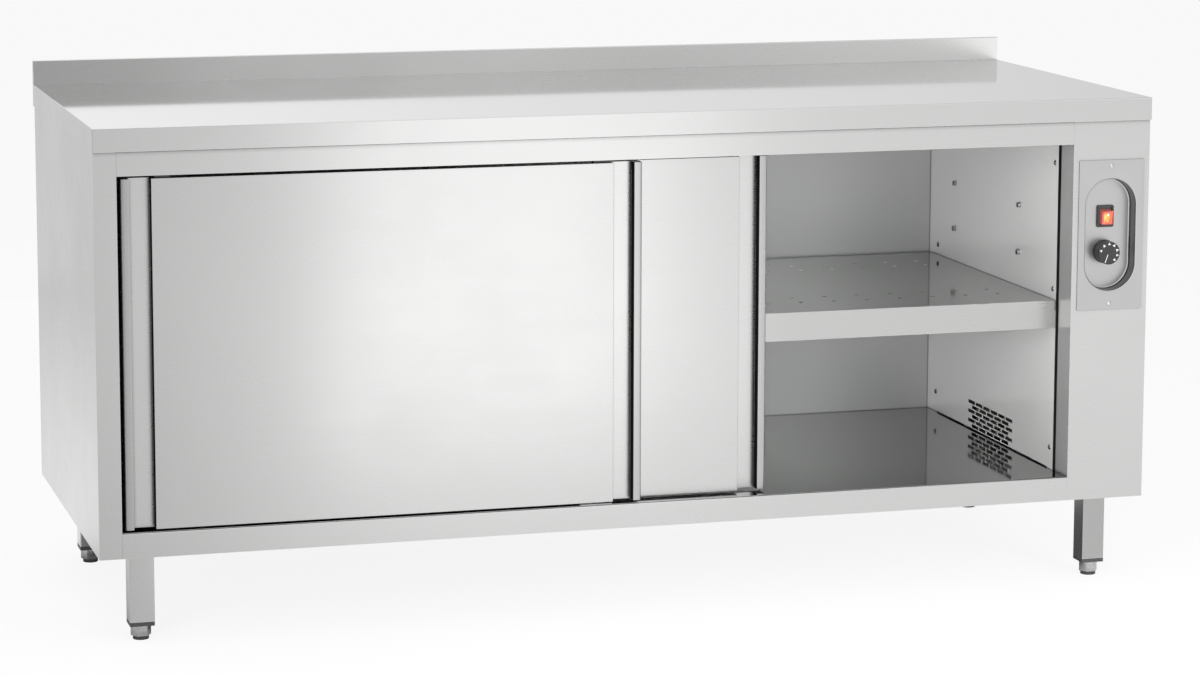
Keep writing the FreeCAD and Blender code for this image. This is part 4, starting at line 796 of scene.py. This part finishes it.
for node, width in SHEET_RIMS.items():
    sheet = rim_rounded(node, width * MM, WHOLE_FINISHES.get(node), 3.0 if node in FOLDED else 1.0,
                        PART_FINISHES.get(node, ()))
    if node in PART_FINISHES:
        marked = sum(face.material_index > 0 for face in sheet.data.polygons)
        print(node, "has", marked, "faces of other finishes")
for corner in CORNERS:
    rim_rounded("leg_" + corner, 0.3 * MM, right_leg_sheet if corner == "front_right" else satin_upright)
    rim_rounded("foot_pad_" + corner, 0.3 * MM)
for node, width in INNER_RIMS.items():
    rim_rounded(node, width * MM, WHOLE_FINISHES.get(node))
for door in ("front_door", "rear_door"):
    for end in ("left", "right"):
        rim_rounded(f"{door}_roller_{end}", 0.4 * MM)

# %% [markdown]
# Screw heads, studs, the dial and the feet's stems are turned, so half the outline of each is
# drawn once and spun about its axis. Heads that share a node take their places from the boxes of
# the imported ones, so no list of places is needed here.

# %% Turning


def pour(source, target):
    """Adds one bmesh to another."""
    carrier = bpy.data.meshes.new("carrier")
    source.to_mesh(carrier)
    source.free()
    target.from_mesh(carrier)
    bpy.data.meshes.remove(carrier)


def lathe(work, outline, place, axis, steps):
    """Spins (radius, height) points about an axis that leaves the place, and closes the shape."""
    spun = bmesh.new()
    points = [spun.verts.new((radius, 0.0, height)) for radius, height in outline]
    rim = [spun.edges.new(pair) for pair in zip(points, points[1:])]
    bmesh.ops.spin(spun, geom=spun.verts[:] + rim, cent=(0, 0, 0), axis=(0, 0, 1), dvec=(0, 0, 0),
                   angle=math.tau, steps=steps, use_merge=True)
    bmesh.ops.remove_doubles(spun, verts=spun.verts, dist=1e-7)
    bmesh.ops.recalc_face_normals(spun, faces=spun.faces)
    turned = Vector(axis).to_track_quat("Z", "Y").to_matrix().to_4x4()
    bmesh.ops.transform(spun, matrix=Matrix.Translation(place) @ turned, verts=spun.verts)
    pour(spun, work)


def islands(node):
    """Boxes of a node's separate solids, as (low, high) pairs in metres."""
    work = merged(node)
    boxes, left = [], set(work.verts)
    while left:
        reached, front = set(), [left.pop()]
        while front:
            vert = front.pop()
            reached.add(vert)
            for edge in vert.link_edges:
                other = edge.other_vert(vert)
                if other in left:
                    left.remove(other)
                    front.append(other)
        low = Vector([min(vert.co[part] for vert in reached) for part in range(3)])
        high = Vector([max(vert.co[part] for vert in reached) for part in range(3)])
        boxes.append((low, high))
    work.free()
    return boxes


# %% [markdown]
# The end walls carry two sorts of round heads. Domed screws hold the lining to the frame, and
# studs with a flat end carry the shelf, with two more rows above it for other heights. At this
# size a head is a bright spot with a dark ring round it: its front mirrors the room and its side
# the dark chamber. The sides that look away from the front are painted nearly black, a painted
# reflection of that dark chamber.

# %% Screws and studs on the end walls
DOME = ((1.0, 0.0), (0.98, 0.12), (0.90, 0.36), (0.74, 0.64), (0.52, 0.85), (0.28, 0.96), (0.0, 1.0))
FLAT_END = ((1.0, 0.0), (1.0, 0.84), (0.9, 0.93), (0.76, 0.98), (0.6, 1.0), (0.0, 1.0))
head_steel = cloudy_metal("head_steel", (0.50, 0.50, 0.495), (0.40, 0.40, 0.395), 0.12, 300.0)
# The second finish is near black: a painted reflection of the dark chamber on the heads' sides.
head_painted_dark_side = cloudy_metal("head_painted_dark_side", grey(0.02), grey(0.012), 0.3, 300.0)


def wall_heads(node, name, head, profile):
    """Turned heads with their shanks, at the place of each solid of a node.

    The profile gives a head's outline as shares of its radius and height."""
    work = bmesh.new()
    for low, high in islands(node):
        inward = 1.0 if low.x < 0 else -1.0
        radius = (high.z - low.z) / 2
        face = high.x - low.x - head
        tail = Vector((low.x if inward > 0 else high.x, (low.y + high.y) / 2, (low.z + high.z) / 2))
        outline = [(0.0, 0.0), (radius * 0.5, 0.0), (radius * 0.5, face)]
        outline += [(radius * wide, face + head * tall) for wide, tall in profile]
        lathe(work, outline, tail, (inward, 0, 0), 24)
    for face in work.faces:
        face.material_index = int(abs(face.normal.x) < 0.5 and face.normal.y > -0.35)
    return finished(name, work, BODIES[node], head_steel, others=[head_painted_dark_side])


screws = wall_heads("liner_screws", "liner_screw_heads", 2.6 * MM, DOME)
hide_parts("liner_screws")
studs = wall_heads("shelf_studs", "shelf_stud_heads", 5.5 * MM, FLAT_END)
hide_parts("shelf_studs")
print("heads", len(islands("liner_screws")), "screws and", len(islands("shelf_studs")), "studs")

# %% [markdown]
# The dial is one black moulding. Its side draws in a little towards the panel so that fingers
# hold it, and its front edge is rounded. Seven small triangles of one size stand round its face
# for the heat, and a line shows where it is set. The marks are thin printed pieces, because a
# painted pattern would blur in a close view.

# %% Dial
DIAL_BORE = 3.2 * MM
FACE_SUNK = 0.12 * MM
knob_low, knob_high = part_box("knob")
knob_middle = Vector(((knob_low.x + knob_high.x) / 2, knob_high.y, (knob_low.z + knob_high.z) / 2))
knob_radius = (knob_high.x - knob_low.x) / 2
knob_deep = knob_high.y - knob_low.y
dial = bmesh.new()
lathe(dial, [(DIAL_BORE, 0.0), (knob_radius, 0.0), (knob_radius, 1.6 * MM),
             (knob_radius - 0.5 * MM, 2.2 * MM), (knob_radius - 0.9 * MM, knob_deep * 0.35),
             (knob_radius - 0.5 * MM, knob_deep * 0.7), (knob_radius - 0.1 * MM, knob_deep - 1.8 * MM),
             (knob_radius - 0.15 * MM, knob_deep - 1.0 * MM),
             (knob_radius - 0.4 * MM, knob_deep - 0.3 * MM), (knob_radius - 0.9 * MM, knob_deep),
             (knob_radius - 1.3 * MM, knob_deep - FACE_SUNK), (0.0, knob_deep - FACE_SUNK)],
      knob_middle, (0, -1, 0), 96)
dial_piece = finished("dial", dial, BODIES["knob"], knob_black, 28.0)
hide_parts("knob")
print("dial", round(knob_radius * 2000, 1), "mm across")

# %% Marks on the dial
MARK_ANGLES = (164, 127, 90, 54, 18, -16, -50)
MARK_REACH, MARK_TALL, MARK_SPREAD = 18.6 * MM, 4.6 * MM, 10.0
POINTER_IN, POINTER_OUT, POINTER_HALF = (3.2 * MM, 228), (18.0 * MM, 246), (0.6 * MM, 158)
PRINT_THICK = 0.15 * MM


def around(radius, degrees):
    """A point (x, z) on the dial's face, with degrees counted from the right and upwards."""
    angle = math.radians(degrees)
    return Vector((knob_middle.x + radius * math.cos(angle), knob_middle.z + radius * math.sin(angle)))


marks = [[around(MARK_REACH, degrees), around(MARK_REACH - MARK_TALL, degrees + MARK_SPREAD),
          around(MARK_REACH - MARK_TALL, degrees - MARK_SPREAD)] for degrees in MARK_ANGLES]
start, end = around(*POINTER_IN), around(*POINTER_OUT)
half = around(*POINTER_HALF) - Vector((knob_middle.x, knob_middle.z))
marks.append([start + half, start - half, end - half, end + half])
printed = bmesh.new()
for outline in marks:
    printed.faces.new([printed.verts.new((x, knob_low.y + 0.13 * MM, z)) for x, z in outline])
solid = bmesh.ops.extrude_face_region(printed, geom=printed.faces[:])
moved = [item for item in solid["geom"] if isinstance(item, bmesh.types.BMVert)]
bmesh.ops.translate(printed, verts=moved, vec=(0, -PRINT_THICK, 0))
bmesh.ops.recalc_face_normals(printed, faces=printed.faces)
finished("dial_marks", printed, BODIES["knob"], print_grey, 20.0)
print("dial marks", len(marks))

# %% [markdown]
# The switch has a black frame with rounded corners, a well for the rocker and a box behind it.
# It is made from one block, whose corners are rounded before the well is sunk. That keeps it one
# closed solid, which a frame of four bars wouldn't be.

# %% Switch frame
FLANGE, WALL, WELL_DEEP, BOX_INSET = 4.0 * MM, 2.2 * MM, 22.5 * MM, 1.6 * MM


def block(size, middle=(0.0, 0.0, 0.0)):
    """A bmesh with one box."""
    work = bmesh.new()
    bmesh.ops.create_cube(work, size=1.0)
    bmesh.ops.scale(work, vec=size, verts=work.verts)
    bmesh.ops.translate(work, vec=middle, verts=work.verts)
    return work


def edges_along(work, axis, least):
    """The edges whose ends are further apart along an axis than the least."""
    return [edge for edge in work.edges
            if abs(edge.verts[0].co[axis] - edge.verts[1].co[axis]) > least]


def round_off(work, edges, offset, segments):
    """Bevels some edges."""
    bmesh.ops.bevel(work, geom=list(edges), offset=offset, offset_type="OFFSET", affect="EDGES",
                    segments=segments, profile=0.5, material=-1)


def front_of(work, side=-1.0):
    """The face that lies furthest to the front, or to the back for a side of 1."""
    return max(work.faces,
               key=lambda face: (round(side * face.calc_center_median().y, 6), face.calc_area()))


def push(work, face, vec):
    """Extrudes one face and moves its new copy."""
    made = bmesh.ops.extrude_face_region(work, geom=[face])
    verts = [item for item in made["geom"] if isinstance(item, bmesh.types.BMVert)]
    bmesh.ops.translate(work, verts=verts, vec=vec)
    if face.is_valid:
        bmesh.ops.delete(work, geom=[face], context="FACES_ONLY")


def switch_frame(low, high):
    """A rounded flange with a well, and the switch's box behind it, as one solid."""
    flange_high = Vector((high.x, low.y + FLANGE, high.z))
    work = block(flange_high - low, (flange_high + low) / 2)
    round_off(work, edges_along(work, Y, FLANGE / 2), 2.4 * MM, 6)
    round_off(work, front_of(work).edges, 0.8 * MM, 3)
    for side, inset, depth in ((-1.0, WALL, WELL_DEEP), (1.0, BOX_INSET, high.y - flange_high.y)):
        face = front_of(work, side)
        bmesh.ops.inset_region(work, faces=[face], thickness=inset, depth=0.0, use_even_offset=True)
        push(work, front_of(work, side), (0, depth, 0))
    bmesh.ops.recalc_face_normals(work, faces=work.faces)
    return work


frame_low, frame_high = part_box("switch_housing")
housing = finished("switch_frame", switch_frame(frame_low, frame_high), BODIES["switch_housing"],
                   switch_black, 40.0)
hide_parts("switch_housing")
print("switch frame", round((frame_high.x - frame_low.x) * 1000, 1), "by",
      round((frame_high.z - frame_low.z) * 1000, 1), "mm")

# %% [markdown]
# The rocker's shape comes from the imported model, already tilted to on, and is drawn in a little
# so that its clear rim shows a gap. On its front lies the bright window, a low rounded block,
# and on that a ring and a bar for off and on. Both are set out flat and then tilted with it.

# %% Rocker
DRAWN_IN = 0.90
key = merged("switch_rocker")
front_face = max(key.faces, key=lambda face: face.calc_area() * max(0.0, -face.normal.y))
front_middle = front_face.calc_center_median()
tilt = math.atan2(-front_face.normal.z, -front_face.normal.y)
print("rocker tilts", round(math.degrees(tilt), 1), "degrees")
shrink = Matrix.Diagonal((DRAWN_IN, 1.0, DRAWN_IN, 1.0))
key_centre = Matrix.Translation((front_middle.x, 0.0, front_middle.z))
bmesh.ops.transform(key, matrix=key_centre @ shrink @ key_centre.inverted(), verts=key.verts)
key_piece = finished("rocker", key, BODIES["switch_rocker"], rocker_red)
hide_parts("switch_rocker")
on_rocker = Matrix.Translation(front_middle) @ Matrix.Rotation(tilt, 4, "X")

# %% Lit window and its marks
WINDOW = Vector((14.0 * MM, 0.5 * MM, 16.5 * MM))
MARK_HIGH = 5.3 * MM
RING_IN, RING_OUT, RING_THICK = 1.0 * MM, 1.7 * MM, 0.12 * MM
BAR = (0.9 * MM, 2 * RING_THICK, 3.4 * MM)


def rocker_window():
    """A low rounded block that stands a little proud of the rocker's face."""
    work = block(WINDOW)
    round_off(work, edges_along(work, Y, WINDOW.y / 2), 1.0 * MM, 4)
    round_off(work, front_of(work).edges, 0.18 * MM, 2)
    bmesh.ops.transform(work, matrix=on_rocker, verts=work.verts)
    return work


def off_and_on_marks():
    """A ring over a bar, turned and cut as thin raised print."""
    work = bmesh.new()
    face = -WINDOW.y / 2
    ring = [(RING_IN, 0.0), (RING_OUT, 0.0), (RING_OUT, RING_THICK), (RING_IN, RING_THICK), (RING_IN, 0.0)]
    lathe(work, ring, (0, face, MARK_HIGH), (0, -1, 0), 32)
    pour(block(BAR, (0, face, -MARK_HIGH)), work)
    bmesh.ops.transform(work, matrix=on_rocker, verts=work.verts)
    return work


lamp_place = on_rocker @ Vector((-5.0 * MM, 0.0, 2.0 * MM))
window_red = lit_red("window_red", (0.75, 0.07, 0.02), (1.0, 0.62, 0.10), 0.95, lamp_place)
finished("rocker_window", rocker_window(), BODIES["switch_rocker"], window_red)
finished("rocker_marks", off_and_on_marks(), BODIES["switch_rocker"], print_white)
print("window", [round(part / MM, 1) for part in WINDOW], "mm")

# %% [markdown]
# Two bright pan heads hold the control plate, and each mirrors the room in its dome. Like the
# other heads they are turned, here with a small round dip in the middle for the driver.

# %% Plate screws
HEAD_HIGH = 1.8 * MM
polished = cloudy_metal("polished_heads", (0.70, 0.70, 0.69), (0.58, 0.58, 0.57), 0.14, 300.0, 0.8 * MM)
plate_heads = bmesh.new()
for low, high in islands("control_plate_screws"):
    radius = (high.z - low.z) / 2
    length = high.y - low.y
    tail = Vector(((low.x + high.x) / 2, high.y, (low.z + high.z) / 2))
    outline = [(0.0, 0.0), (radius * 0.5, 0.0), (radius * 0.5, length - HEAD_HIGH)]
    outline += [(radius * wide, length - HEAD_HIGH + HEAD_HIGH * tall) for wide, tall in DOME[:-2]]
    top = length - HEAD_HIGH + HEAD_HIGH * DOME[-2][1]
    outline += [(radius * 0.30, top), (radius * 0.26, length - HEAD_HIGH * 0.5),
                (0.0, length - HEAD_HIGH * 0.7)]
    lathe(plate_heads, outline, tail, (0, -1, 0), 32)
heads = finished("control_plate_screw_heads", plate_heads, BODIES["control_plate_screws"],
                 polished)
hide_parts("control_plate_screws")
print("plate screws", len(islands("control_plate_screws")))

# %% [markdown]
# The feet are hexagon nuts on threaded stems. A spanner turns them, so their corners are
# chamfered and bright, and the stem shows its thread where it leaves the leg. Rings stand in for
# the thread's spiral, which no one can tell apart at this size.

# %% Threaded feet
HEX_HIGH, THREAD_PITCH = 18.0 * MM, 1.75 * MM
STEM_CORE, STEM_CREST, STEM_END = 5.3 * MM, 6.0 * MM, 5.0 * MM
foot_metal = cloudy_metal("plated_foot", (0.48, 0.485, 0.49), (0.34, 0.345, 0.35), 0.17, 120.0)


def threaded_foot(node):
    """A chamfered hexagon with a threaded stem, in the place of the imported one."""
    low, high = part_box(node)
    middle = (low + high) / 2
    work = bmesh.new()
    half_across = (high.y - low.y) / 2
    bmesh.ops.create_circle(work, cap_ends=True, segments=6, radius=half_across / math.cos(math.pi / 6))
    wide = max(vert.co.x for vert in work.verts)
    if wide < (high.x - low.x) / 2 - 0.5 * MM:
        sixth = Matrix.Rotation(math.pi / 6, 3, "Z")
        bmesh.ops.rotate(work, verts=work.verts, cent=(0, 0, 0), matrix=sixth)
    made = bmesh.ops.extrude_face_region(work, geom=work.faces[:])
    top = [item for item in made["geom"] if isinstance(item, bmesh.types.BMVert)]
    bmesh.ops.translate(work, verts=top, vec=(0, 0, HEX_HIGH))
    bmesh.ops.recalc_face_normals(work, faces=work.faces)
    upright = set(edges_along(work, Z, 1e-6))
    round_off(work, [edge for edge in work.edges if edge not in upright], 1.3 * MM, 3)
    round_off(work, edges_along(work, Z, HEX_HIGH / 2), 0.3 * MM, 2)
    bmesh.ops.translate(work, verts=work.verts, vec=(middle.x, middle.y, low.z))
    tall = high.z - low.z
    rings = [(0.0, HEX_HIGH - 1.0 * MM), (STEM_CORE, HEX_HIGH - 1.0 * MM)]
    for number in range(int((tall - HEX_HIGH) / THREAD_PITCH)):
        base = HEX_HIGH + number * THREAD_PITCH
        rings += [(STEM_CORE, base), (STEM_CREST, base + 0.5 * THREAD_PITCH)]
    rings += [(STEM_CORE, tall - 0.3 * MM), (STEM_END, tall), (0.0, tall)]
    lathe(work, rings, (middle.x, middle.y, low.z), (0, 0, 1), 24)
    return work


for corner in CORNERS:
    node = "foot_" + corner
    foot = finished(node + "_threaded", threaded_foot(node), BODIES[node], foot_metal)
    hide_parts(node)
print("feet", len(CORNERS), "with a thread of", THREAD_PITCH / MM, "mm")
